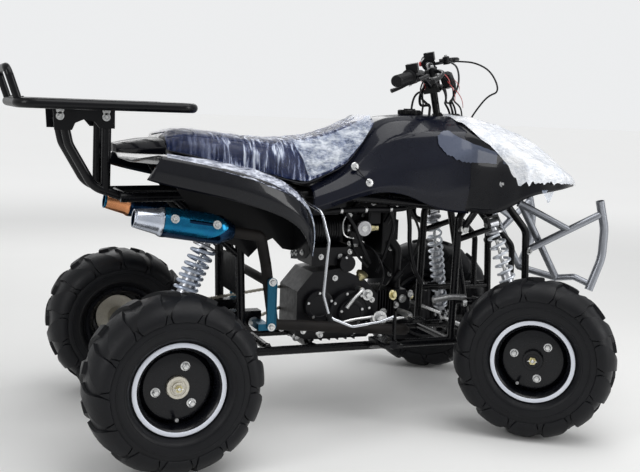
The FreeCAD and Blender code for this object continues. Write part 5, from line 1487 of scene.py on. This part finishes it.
def seat_film():
    """Clear film over vinyl, coloured with painted light: a painted blue reflection where it lies
    flat, with painted white highlight streaks down the middle.
    """
    finish = Finish("seat_film_painted_sheen", Roughness=0.12)
    finish.feed("Specular IOR Level", 0.5)
    streaks = finish.grain(26, 6, 0.6, place=finish.stretched(3.6, 1.0, 0.35))
    folds = finish.grain(15, 3, 0.5, place=finish.stretched(1.0, 1.2, 0.8))
    share = finish.ramp(streaks * 0.8 + folds * 0.2, (0.47, 0.0), (0.60, 1.0))
    # A ramp along the seat makes the painted highlight streaks strongest near the middle of its
    # length.
    along = finish.node("SeparateXYZ", {}, {0: finish.place}) * 2 + 1.0
    middle = finish.ramp(along, (0.06, 0.22), (0.24, 0.34), (0.42, 1.0), (0.80, 0.95), (1.0, 0.6))
    share = share * middle
    finish.feed("Base Color", finish.mix(share, (0.07, 0.12, 0.40), (0.80, 0.87, 1.0)))
    finish.feed("Alpha", share * 0.72 + 0.14)
    return finish.bumps(streaks * 1.2 + folds, 0.006, 1.0)


SEAT_FILM_SHEEN = seat_film()


def over_rows(rows, forward, share, lift):
    """A point over a mirrored skin: how far forward, how far round, and how high above."""
    for (x0, half0), (x1, half1) in zip(rows, rows[1:]):
        if forward <= x1 or x1 == rows[-1][0]:
            break
    t = (forward - x0) / (x1 - x0)
    half = [(a[0] * (1 - t) + b[0] * t, a[1] * (1 - t) + b[1] * t) for a, b in zip(half0, half1)]
    sign = -1 if share < 0 else 1
    at = abs(share) * (len(half) - 1)
    i = min(int(at), len(half) - 2)
    s = at - i
    a, b = half[i], half[i + 1]
    run = Vector((0, sign * (b[0] - a[0]), b[1] - a[1])).normalized()
    out = Vector((0, -run.z * sign, run.y * sign))
    if i == 0 and s < 0.5:
        out = Vector((0, 0.25 * sign, 1)).normalized()
    return rear(forward, sign * (a[0] * (1 - s) + b[0] * s), a[1] * (1 - s) + b[1] * s) + out * lift


SEAT_TOP = [(forward, half[:5]) for forward, half in SEAT_SECTIONS]
FILM_ROWS, FILM_COLUMNS = 150, 88
FILM_BACK, FILM_LENGTH = 30, 606
film_shape = Shape()
grid = []
for i in range(FILM_ROWS):
    forward = FILM_BACK + FILM_LENGTH * i / (FILM_ROWS - 1)
    row = []
    for k in range(FILM_COLUMNS):
        share = 2 * k / (FILM_COLUMNS - 1) - 1
        slack = max(0, 1 - abs(forward - 350) / 330)
        tall = noise.noise(Vector((forward * 0.060, share * 1.6, 1.0)))
        ridge = abs(noise.noise(Vector((forward * 0.11, share * 2.2, 5.0))))
        lift = 0.0058 + 0.0058 * slack * (0.5 + tall) * (0.35 + abs(share)) + 0.004 * ridge
        row.append(over_rows(SEAT_TOP, forward, share * 0.985, lift))
    grid.append(row)
film_shape.surface(grid)
film_item = piece("seat_film", film_shape, [SEAT_FILM_SHEEN], "chassis", sharp=80)

patch = Shape()
PATCH_CORNERS = (
    # forward at the seat's top edge, forward at its low edge, on the right half
    (372, 424), (440, 446), (520, 490), (600, 560), (636, 620),
)
for sign in (-1, 1):
    grid = []
    for i in range(40):
        at = (len(PATCH_CORNERS) - 1) * i / 39
        low = min(int(at), len(PATCH_CORNERS) - 2)
        t = at - low
        top = PATCH_CORNERS[low][0] * (1 - t) + PATCH_CORNERS[low + 1][0] * t
        foot = PATCH_CORNERS[low][1] * (1 - t) + PATCH_CORNERS[low + 1][1] * t
        row = []
        for k in range(24):
            s = k / 23
            share = 0.34 + 0.60 * s
            ridge = abs(noise.noise(Vector((i * 0.16, s * 1.2, 3.0 + sign))))
            row.append(over_rows(SEAT_TOP, top + (foot - top) * s, sign * share,
                                 0.0125 + 0.004 * ridge))
        grid.append(row)
    patch.surface(grid)
patch_item = piece("seat_film_panel", patch, [MILKY_FILM_AND_SHEEN], "chassis", sharp=80)


# Tank cover and nose: one faceted line from the seat's front over the tank to the pointed
# nose. The cover has two plated screws a side and a flat black filler cap.

FACET_GREY = body_gloss("facet_grey_blue", (0.060, 0.072, 0.110), (0.100, 0.115, 0.160))
TANK_SKIN = (
    (438, ((0, 676), (88, 676), (112, 680), (134, 664), (143, 648), (146, 620), (134, 604))),
    (490, ((0, 700), (72, 700), (112, 700), (132, 688), (145, 664), (150, 640), (140, 621))),
    (541, ((0, 734), (66, 734), (102, 728), (126, 712), (146, 684), (151, 655), (142, 641))),
    (600, ((0, 812), (60, 810), (94, 796), (124, 762), (148, 712), (153, 674), (145, 658))),
    (650, ((0, 872), (54, 869), (84, 858), (124, 816), (152, 730), (155, 684), (147, 668))),
    (720, ((0, 882), (58, 879), (86, 868), (136, 828), (165, 742), (162, 680), (152, 660))),
    (790, ((0, 887), (60, 883), (88, 873), (150, 832), (175, 750), (168, 656), (154, 626))),
    (850, ((0, 887), (54, 883), (82, 874), (148, 838), (182, 768), (176, 664), (158, 609))),
    (908, ((0, 885), (48, 881), (78, 873), (146, 842), (184, 788), (185, 690), (176, 607))),
)
skin(TANK_SKIN, [NAVY_GLOSS, FACET_GREY], "tank_cover_skin", "tank_cover", 0.55, 3)

tank_fixings = Shape()
for sign in (-1, 1):
    for x, y, z in ((559, 139, 737), (601, 150, 693)):
        tank_fixings.at(rear(x, sign * y, z), (0, sign, 0.25))
        tank_fixings.turned(((0, -0.004), (0.0115, -0.004), (0.0115, 0.0015), (0.0095, 0.003),
                             (0.0040, 0.0034), (0.0034, 0.0018), (0, 0.0018)), 0, 28)
    tank_fixings.home()
    tank_fixings.bent([rear(559, sign * 144, 735), rear(580, sign * 149, 712),
                       rear(601, sign * 152, 693)], 0.0012, 1, 6)
tank_fixings.at(rear(790, 0, 884), (0, 0, 1))
cap_profile = [(0, 0), (0.033, 0), (0.034, 0.002), (0.034, 0.012), (0.032, 0.0145),
               (0.022, 0.0145), (0.021, 0.0125), (0.012, 0.0125), (0.011, 0.0145), (0, 0.0145)]
tank_fixings.turned(cap_profile, 1, 40)
for i in range(20):
    angle = 2 * math.pi * i / 20
    spot = Vector((0.034 * math.cos(angle), 0.034 * math.sin(angle), 0))
    tank_fixings.bent([spot + Vector((0, 0, 0.001)), spot + Vector((0, 0, 0.0125))], 0.0014, 1, 6)
tank_fixings.home()
tank_fixings.box(rear(772, -3, 896.5), rear(808, 3, 902), 1)
piece("tank_fixings", tank_fixings, [ZINC, PLASTIC_BLACK], "chassis")

NOSE_SKIN = (
    (894, ((0, 878), (52, 875), (110, 858), (154, 830), (176, 788), (178, 730), (170, 612))),
    (912, ((0, 884), (58, 880), (116, 864), (162, 835), (186, 792), (190, 738), (190, 614))),
    (960, ((0, 881), (68, 877), (150, 846), (214, 812), (240, 780), (246, 748), (250, 606))),
    (1000, ((0, 874), (80, 868), (176, 828), (260, 796), (306, 772), (320, 752), (322, 668))),
    (1060, ((0, 858), (86, 850), (190, 806), (272, 774), (318, 756), (328, 742), (328, 682))),
    (1120, ((0, 839), (90, 831), (180, 794), (258, 762), (306, 742), (324, 728), (324, 690))),
    (1180, ((0, 812), (84, 804), (160, 772), (226, 742), (268, 724), (284, 712), (284, 696))),
    (1240, ((0, 773), (66, 766), (120, 743), (166, 721), (196, 708), (207, 700), (207, 688))),
    (1306, ((0, 722), (40, 718), (70, 708), (92, 699), (106, 693), (111, 689), (110, 679))),
    (1380, ((0, 697), (8, 695), (14, 692), (19, 688), (23, 685), (25, 682), (25, 676))),
)
skin(NOSE_SKIN, [FENDER_GLOSS, FACET_GREY], "nose_skin", "front_fender", 0.6, 3)


def beside(forward, up, sign, lift):
    """A point on the tank skin or the nose skin at a given place forward and a given height."""
    rows = TANK_SKIN if forward <= 900 else NOSE_SKIN
    share = 0.3
    while share < 0.95 and over_rows(rows, forward, share, 0).z * 1000 > up:
        share += 0.01
    return over_rows(rows, forward, sign * share, lift)


PANEL = ((806, 832, 806), (829, 842, 778), (850, 842, 770), (881, 824, 760), (912, 809, 757),
         (945, 793, 757), (978, 777, 758), (1008, 763, 759))
panels = Shape()
for sign in (-1, 1):
    grid = []
    for (x0, high0, low0), (x1, high1, low1) in zip(PANEL, PANEL[1:]):
        for k in range(6):
            t = k / 5
            high = high0 + (high1 - high0) * t
            low = low0 + (low1 - low0) * t
            grid.append([beside(x0 + (x1 - x0) * t, high + (low - high) * j / 8, sign, 0.0028)
                         for j in range(9)])
    panels.surface(grid)
piece("side_facet_panels", panels, [FACET_GREY], "chassis", sharp=60)


# The nose film is almost opaque near-white: partly the film's own milkiness, partly a painted
# highlight of its sheen on the nose top.
NOSE_FILM_AND_SHEEN = film("nose_film", (0.74, 0.78, 0.86), (0.97, 0.98, 1.0), 0.90, 1.0,
                 along=(0.8, 1.2, 1.6), wrinkle=16)
FILM_REACH = ((900, 0.30), (922, 0.50), (944, 0.58), (960, 0.68), (974, 0.84), (988, 0.92),
              (1100, 0.92), (1200, 0.92), (1300, 0.92), (1374, 0.92))
nose_film = Shape()
grid = []
for i in range(120):
    forward = FILM_REACH[0][0] + (FILM_REACH[-1][0] - FILM_REACH[0][0]) * i / 119
    for (x0, reach0), (x1, reach1) in zip(FILM_REACH, FILM_REACH[1:]):
        if forward <= x1:
            break
    reach = reach0 + (reach1 - reach0) * (forward - x0) / (x1 - x0)
    row = []
    for k in range(73):
        share = 2 * k / 72 - 1
        ragged = 1 + 0.035 * noise.noise(Vector((i * 0.35, 3.0 * (share > 0), 7.0)))
        ragged += 0.02 * noise.noise(Vector((i * 1.3, 3.0 * (share > 0), 2.0)))
        fold = abs(noise.noise(Vector((i * 0.10, share * 3.5, 1.0))))
        fold += 0.5 * abs(noise.noise(Vector((i * 0.32, share * 8, 6.0))))
        row.append(over_rows(NOSE_SKIN, forward, share * reach * ragged, 0.0045 + 0.0065 * fold))
    grid.append(row)
nose_film.surface(grid)
item = piece("nose_film", nose_film, [NOSE_FILM_AND_SHEEN], "chassis", sharp=60)

FLAP_BACK, FLAP_LONG, FLAP_TIP, FLAP_DROP = 1050, 46, 1076, 36
flaps = Shape()
for sign in (-1, 1):
    rows = []
    for i in range(10):
        drop = i / 9
        row = []
        for k in range(9):
            x = FLAP_BACK + FLAP_LONG * (k / 8)
            x += (FLAP_TIP - x) * drop * 0.92
            bulge = 3 * math.sin(3 * drop + k * 0.7)
            row.append(rear(x, sign * (325 + bulge), 690 - FLAP_DROP * drop))
        rows.append(row)
    flaps.surface(rows)
item = piece("nose_film_flaps", flaps, [MILKY_FILM_AND_SHEEN], "chassis", sharp=60)

supports = Shape()
for sign in (-1, 1):
    supports.bent([rear(1006, sign * 205, 772), rear(990, sign * 200, 735),
                   rear(958, sign * 192, 668), rear(916, sign * 180, 596),
                   rear(905, sign * 156, 560), rear(918, sign * 118, 548)], 0.0095, 0, 14)
    supports.bolt(rear(905, sign * 166, 560), (-0.2, sign, 0), 0.013, 1)
    for x, y, z in ((952, 199, 742), (938, 194, 716), (966, 256, 700)):
        supports.bolt(rear(x, sign * y, z), (-0.3, sign, 0.2), 0.009, 1)
piece("nose_supports", supports, [FRAME_BLACK, ZINC], "chassis")


# Bumper: bent grey-silver tube, open at its two top ends. The tube is bare and faintly
# streaked from drawing, with a bead of weld where its braces meet the uprights.

def bare_tube():
    finish = Finish("bumper_bare_tube", Metallic=0.85, Coat_Weight=0.2, Coat_Roughness=0.2)
    streaks = finish.grain(60, 4, 0.6, place=finish.stretched(1, 1, 0.25))
    clouds = finish.grain(9, 4)
    finish.feed("Base Color", finish.mix(streaks * 0.5 + clouds * 0.5, (0.20, 0.21, 0.24),
                                         (0.44, 0.46, 0.50)))
    finish.feed("Roughness", finish.ramp(clouds, (0.3, 0.28), (0.8, 0.44)))
    return finish.bumps(streaks, 0.0004, 0.4)


BARE_TUBE = bare_tube()
coat("front_bumper", BARE_TUBE)


def front(x, y, z):
    return rear(x + 1060, y, z)


bumper_welds = Shape()
for sign in (-1, 1):
    for x, y, z, along, radius in (
            (304, 194, 606, (-0.85, sign * -0.36, -0.5), 0.011),
            (316, 188, 470, (0, 1, 0), 0.011),
            (288, 194, 384, (0.7, sign * 0.7, 0), 0.010),
            (66, 104, 630, (0.9, sign * 0.33, -0.45), 0.011)):
        add_weld(bumper_welds, front(x, sign * y, z), along, radius)
    bumper_welds.bolt(front(-4, sign * 120, 652), (0, sign, 0), 0.013, 1)
    bumper_welds.bolt(front(100, sign * 122, 484), (0.4, sign, 0), 0.013, 1)
piece("bumper_welds", bumper_welds, [BARE_TUBE, ZINC], "chassis")


# Rear rack: bent tube round a deck of rods, a low hoop behind as a backstop, and two cut
# plates that carry it on the legs. Black powder coat.

RACK_BLACK = powder_black("rack_powder_black", 0.26)
coat("rack_deck", RACK_BLACK)
rack = Shape()
RACK_FRONT = 87
RACK_BACK = -345
for x in (-280, -200, -120, -40, 20):
    for sign in (-1, 1):
        add_weld(rack, rear(x, sign * 187, 883), (0, 1, 0), 0.008)
for sign in (-1, 1):
    for x, z in ((-236, 852), (-120, 852), (-236, 868), (-120, 868)):
        rack.bolt(rear(x, sign * 89.4, z), (0, sign, 0), 0.011, 1)
    add_weld(rack, rear(-341, sign * 160, 894), (-0.3, 0, 0.95), 0.010)
    for x in (RACK_FRONT - 3, RACK_BACK + 3):
        add_weld(rack, rear(x, sign * 84, 883), (1, 0, 0), 0.008)
piece("rack_fixings", rack, [RACK_BLACK, ZINC], "chassis")


# Fender stays, air box and splash guard. The stays are thin polished rods from the seat
# rails down to the foot rests. The air box is a moulded box under the seat, and the guard a
# thin sheet between swingarm and engine.

def polished_rod():
    finish = Finish("stay_polished", Metallic=1.0)
    finish.feed("Base Color", finish.mix(finish.grain(30, 4), (0.46, 0.48, 0.52),
                                         (0.80, 0.82, 0.86)))
    finish.feed("Roughness", finish.ramp(finish.grain(24, 5), (0.35, 0.12), (0.75, 0.34)))
    return finish.bumps(finish.grain(80, 3), 0.0002, 0.3)


STAY_POLISHED = polished_rod()
coat("fender_stays", STAY_POLISHED)
stay_nuts = Shape()
for sign in (-1, 1):
    stay_nuts.bolt(rear(404, sign * 110, 648.5), (0, sign, 0), 0.011)
    stay_nuts.at(rear(452, sign * 256, 338), (0.4, 0, -1))
    stay_nuts.turned(((0.0042, -0.011), (0.0068, -0.011), (0.0068, 0.011), (0.0042, 0.011)), 1, 20)
    stay_nuts.home()
piece("stay_fixings", stay_nuts, [ZINC, WIRE_BLACK], "chassis")
coat("air_box", PLASTIC_BLACK)
coat("splash_guard", PLASTIC_BLACK)


# Knuckles and tie rods: dark castings, and plated rods that take the stem's turn out to the
# wheels. They keep the shape of their CAD nodes.

KNUCKLE_CAST = patterned("knuckle_casting", (0.010, 0.010, 0.012), (0.032, 0.032, 0.036),
                         (40, 5), (90, 0.42, 0.62), (220, 3, 0.0004, 0.5), Metallic=0.5)
for side in ("right", "left"):
    coat("knuckle_" + side, KNUCKLE_CAST)
    coat("tie_rod_" + side, ZINC)


# Steering: a stem that leans back, a bent bar in a clamp with four bolts, ribbed rubber
# grips, and moulded control blocks with their levers. The parts are black. Cables and the
# brake hoses run from the blocks down to a rubber boot in front of the stem.

STEER = joint("steer")
STEM_FOOT = Vector(STEER["pos_m"])
STEM_AXIS = Vector(STEER["axis"]).normalized()
STEM_AHEAD = Vector((0, 1, 0)).cross(STEM_AXIS)
PARKED_DEGREES = -34
PARKED = Quaternion(STEM_AXIS, math.radians(PARKED_DEGREES))


def bar_way(x, y, z):
    """A direction on the steering: ahead, to the left and up the stem."""
    return PARKED @ (STEM_AHEAD * x + Vector((0, y, 0)) + STEM_AXIS * z)


def on_bar(x, y, z):
    """A place on the steering, in millimetres from the stem's foot."""
    return STEM_FOOT + bar_way(x, y, z) / 1000


BAR_BLACK = powder_black("bar_powder_black", 0.20)
GRIP_RUBBER = powder_black("grip_rubber_black", 0.55, 900)
CONTROL_BLACK = powder_black("control_plastic", 0.36, 600)


TAG_RED = patterned("tag_red", (0.42, 0.015, 0.018), (0.62, 0.05, 0.045), (60, 3),
                    (90, 0.28, 0.42), (200, 2, 0.0002, 0.2),
                    Coat_Weight=0.4, Coat_Roughness=0.15)
coat("steering_stem", FRAME_BLACK)
coat("handlebar", BAR_BLACK)
for side in ("right", "left"):
    coat("control_" + side, CONTROL_BLACK)

clamp = Shape()
for y in (-36, 36):
    for x in (-17, 17):
        clamp.bolt(on_bar(x, y, 781), bar_way(0, 0, 1), 0.010)
clamp.bolt(on_bar(0, 0, 753.5), bar_way(0, 0, 1), 0.018)
clamp.at(on_bar(0, 0, 655), STEM_AXIS)
clamp.turned(((0.0112, 0.018), (0.014, 0.018), (0.017, 0.012), (0.019, 0.003), (0.026, -0.004),
              (0.036, -0.010), (0.0365, -0.014), (0.0112, -0.014)), 1, 32)
clamp.home()
piece("bar_clamp_fixings", clamp, [ZINC, GRIP_RUBBER], "steering")


def make_grip(sign):
    shape = Shape()
    inner = Vector((-14, sign * 130, 807))
    outer = Vector((-52, sign * 370, 813))
    out = (outer - inner).normalized()
    shape.at(on_bar(*(outer - out * 120)), bar_way(*out))
    profile = [(0.0112, 0.0), (0.0200, 0.0), (0.0208, 0.0015), (0.0208, 0.0045), (0.0185, 0.006),
               (0.0150, 0.008)]
    height = 0.012
    while height < 0.106:
        profile += [(0.0148, height), (0.0158, height + 0.001), (0.0158, height + 0.0034),
                    (0.0148, height + 0.0044)]
        height += 0.0062
    profile += [(0.0150, 0.110), (0.0160, 0.112), (0.0160, 0.117), (0.0140, 0.1195), (0, 0.1198)]
    shape.turned(profile, 0, 40)
    return shape.home()


for side, sign in SIDES:
    piece("ribbed_grip_" + side, make_grip(sign), [GRIP_RUBBER], "steering",
          sharp=50, replaces=("grip_" + side,))

for side, sign in SIDES:
    block = Shape()
    for share in (0.25, 0.75):
        spot = Vector((-30, sign * (208 + 42 * share), 809))
        block.bolt(on_bar(spot.x - 6, spot.y, spot.z - 21), bar_way(0, 0, -1), 0.006, 1, False)
    block.bent([on_bar(8, sign * 214, 812), on_bar(42, sign * 222, 812),
                on_bar(62, sign * 262, 808), on_bar(56, sign * 320, 800),
                on_bar(44, sign * 356, 798)], (0.0075, 0.0060, 0.0048, 0.0048, 0.0062), 0, 12)
    block.bent([on_bar(44, sign * 352, 798), on_bar(42, sign * 366, 797)],
               (0.0066, 0.0066), 0, 12)
    block.at(on_bar(30, sign * 218, 812), bar_way(0, 0, 1))
    block.turned(((0, -0.013), (0.011, -0.013), (0.011, 0.010), (0.008, 0.012), (0, 0.012)), 0, 24)
    block.home()
    block.bolt(on_bar(30, sign * 218, 824), bar_way(0, 0, 1), 0.008, 1, False)
    block.bent([on_bar(-12, sign * 206, 800), on_bar(-4, sign * 190, 794)], 0.0055, 0, 12)
    if sign < 0:
        block.bent([on_bar(-34, -256, 796), on_bar(-62, -262, 786), on_bar(-84, -276, 782)],
                   (0.006, 0.005, 0.006), 0, 10)
    else:
        block.at(on_bar(-52, 226, 812), bar_way(-1, 0, 0))
        block.turned(((0, 0), (0.0075, 0), (0.0075, 0.005), (0.006, 0.0065), (0, 0.0065)), 2, 20)
        block.home()
        block.at(on_bar(-50, 242, 818), bar_way(-1, 0, 0))
        block.turned(((0, 0), (0.005, 0), (0.005, 0.006), (0, 0.006)), 3, 16)
        block.home()
    piece("lever_and_perch_" + side, block,
          [CONTROL_BLACK, ZINC, TAG_RED, CAST_ALLOY], "steering")

dash = Shape()
dash.at(on_bar(30, 0, 762), bar_way(1, 0, 0.25))
dash.closed([[(x * s, y * s, h) for x, y in
              ((-0.030, -0.024), (0.030, -0.024), (0.034, -0.018), (0.034, 0.018),
               (0.030, 0.024), (-0.030, 0.024), (-0.034, 0.018), (-0.034, -0.018))]
             for h, s in ((0, 0.7), (0.004, 0.95), (0.020, 1.0), (0.030, 0.92), (0.034, 0.75))], 0)
dash.home()
dash.bent([on_bar(14, 0, 748), on_bar(34, 0, 744)], 0.006, 0, 8)
for y in (-12, 12):
    dash.at(on_bar(22, y, 786), bar_way(-0.3, 0, 1))
    dash.turned(((0, 0), (0.0055, 0), (0.0055, 0.003), (0, 0.003)), 1, 16)
dash.home()
piece("key_box", dash, [CONTROL_BLACK, CAST_ALLOY], "steering", bevel=0.001)

tags = Shape()
for x, y, z, wide, tall, lean in ((46, -70, 790, 18, 36, 0.3), (70, 60, 745, 14, 30, -0.2),
                                  (58, -44, 752, 20, 46, 0.1), (70, -6, 728, 16, 50, 0.2),
                                  (-18, -62, 770, 12, 22, -0.3)):
    rows = []
    for i in range(7):
        drop = tall * i / 6
        bow = 5 * math.sin(math.pi * i / 6)
        rows.append([on_bar(x + bow + lean * drop, y + wide * (k / 4 - 0.5), z - drop)
                     for k in range(5)])
    tags.surface(rows, 0)
    tags.surface([[point + bar_way(0.0009, 0, 0) for point in row] for row in rows], 0)
    tags.bent([on_bar(x, y, z), on_bar(x - 8, y - 4, z + 14)], 0.0009, 0, 6)
piece("red_tags", tags, [TAG_RED], "steering")


CABLE_BLACK = powder_black("cable_sleeve", 0.34, 900)


def cable(name, points, diameter, leaves, joins):
    """A cable or hose on one smooth line from the bar to the chassis."""
    curve = bpy.data.curves.new(name + "_line", "CURVE")
    curve.dimensions = "3D"
    curve.resolution_u = 12
    spline = curve.splines.new("NURBS")
    spline.points.add(len(points) - 1)
    for held, point in zip(spline.points, points):
        held.co = (*point, 1)
    spline.order_u = 3
    spline.use_endpoint_u = True
    line = link_new(name + "_line", curve)
    read = bpy.data.meshes.new_from_object(line.evaluated_get(
        bpy.context.evaluated_depsgraph_get()))
    path = [vert.co.copy() for vert in read.vertices]
    bpy.data.objects.remove(line)
    shape = Shape()
    shape.bent(path, diameter / 2, 0, 10, 1)
    bmesh.ops.recalc_face_normals(shape.mesh, faces=shape.mesh.faces)
    data = bpy.data.meshes.new(name)
    shape.mesh.to_mesh(data)
    data.polygons.foreach_set("use_smooth", [True] * len(data.polygons))
    data.materials.append(CABLE_BLACK.material)
    item = link_new(name, data)
    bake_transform(item)


BOOT = rear(938, 0, 884)
BLEND_TOP = on_bar(30, 0, 740)
BLEND_LOW = rear(932, 0, 900)
CABLES = (
    # name, diameter, points on the bar, points on the chassis
    ("throttle_cable", 0.0055,
     ((-6, -192, 795), (8, -170, 785), (30, -110, 770), (40, -50, 735), (34, -20, 700)),
     ((914, -18, 925), (930, -12, 896), (932, -10, 874))),
    ("front_brake_hose_right", 0.0060,
     ((30, -206, 810), (48, -180, 806), (72, -120, 790), (74, -60, 745), (52, -26, 705)),
     ((926, -8, 930), (942, -10, 902), (944, -10, 874))),
    ("front_brake_hose_left", 0.0060,
     ((30, 206, 810), (48, 180, 806), (72, 120, 790), (74, 66, 745), (50, 30, 705)),
     ((930, 14, 926), (944, 12, 900), (946, 10, 874))),
    ("switch_wires", 0.0065,
     ((-6, 192, 795), (6, 160, 780), (22, 90, 755), (34, 36, 725), (30, 12, 700)),
     ((910, 6, 924), (932, 8, 896), (934, 8, 874))),
    ("key_box_wires", 0.0050,
     ((50, 4, 752), (66, 4, 744), (62, 2, 722), (46, 0, 700)),
     ((930, 0, 914), (940, 1, 894), (940, 0, 874))),
    ("clutch_cable", 0.0060,
     ((-12, 150, 792), (-34, 110, 765), (-42, 60, 735), (-40, 28, 708)),
     ((846, 21, 915), (843, 20, 895), (842, 20, 870))),
    ("ignition_wires", 0.0080,
     ((-10, -56, 772), (-34, -48, 745), (-42, -38, 718), (-40, -32, 704)),
     ((842, -31, 916), (841, -31, 896), (840, -31, 870))),
    ("choke_cable", 0.0050,
     ((-8, -150, 785), (-26, -100, 765), (-32, -46, 738), (-30, -16, 708)),
     ((854, -9, 918), (852, -8, 897), (851, -8, 870))),
    ("horn_wires", 0.0050,
     ((40, -40, 778), (62, -34, 752), (60, -26, 722), (56, -22, 705)),
     ((946, -26, 915), (954, -27, 892), (955, -27, 866))),
)
for name, diameter, bar_points, chassis_points in CABLES:
    points = [on_bar(*point) for point in bar_points]
    points += [rear(*point) for point in chassis_points]
    cable(name, points, diameter, BLEND_TOP, BLEND_LOW)

cable("brake_hose_loop",
      [on_bar(40, 232, 806), on_bar(70, 240, 800), on_bar(120, 220, 790), on_bar(170, 150, 760),
       on_bar(190, 90, 700), rear(1062, 10, 950), rear(1030, 20, 905), rear(1012, 24, 874),
       rear(1008, 24, 858)], 0.0055, on_bar(150, 150, 780), rear(1030, 20, 900))
cable("tank_vent_hose",
      [on_bar(-18, -12, 700), on_bar(-30, -13, 716), on_bar(-44, -14, 732), rear(832, -8, 955),
       rear(810, -4, 950), rear(798, 0, 926), rear(796, 0, 896)], 0.0065,
      on_bar(-30, 0, 700), rear(810, 0, 940))

boot = Shape()
boot.at(BOOT, (-0.06, 0, 1))
boot.turned(((0, 0.004), (0.012, 0.006), (0.016, 0.0075), (0.020, 0.006), (0.024, 0.002),
             (0.026, -0.006), (0, -0.008)), 0, 32)
boot.home()
boot.at(rear(1008, 24, 868), (0.1, 0, 1))
boot.turned(((0, 0.006), (0.0055, 0.008), (0.008, 0.006), (0.010, 0.0), (0.010, -0.008),
             (0, -0.008)), 0, 20)
boot.home()
piece("cable_boots", boot, [GRIP_RUBBER], "chassis")
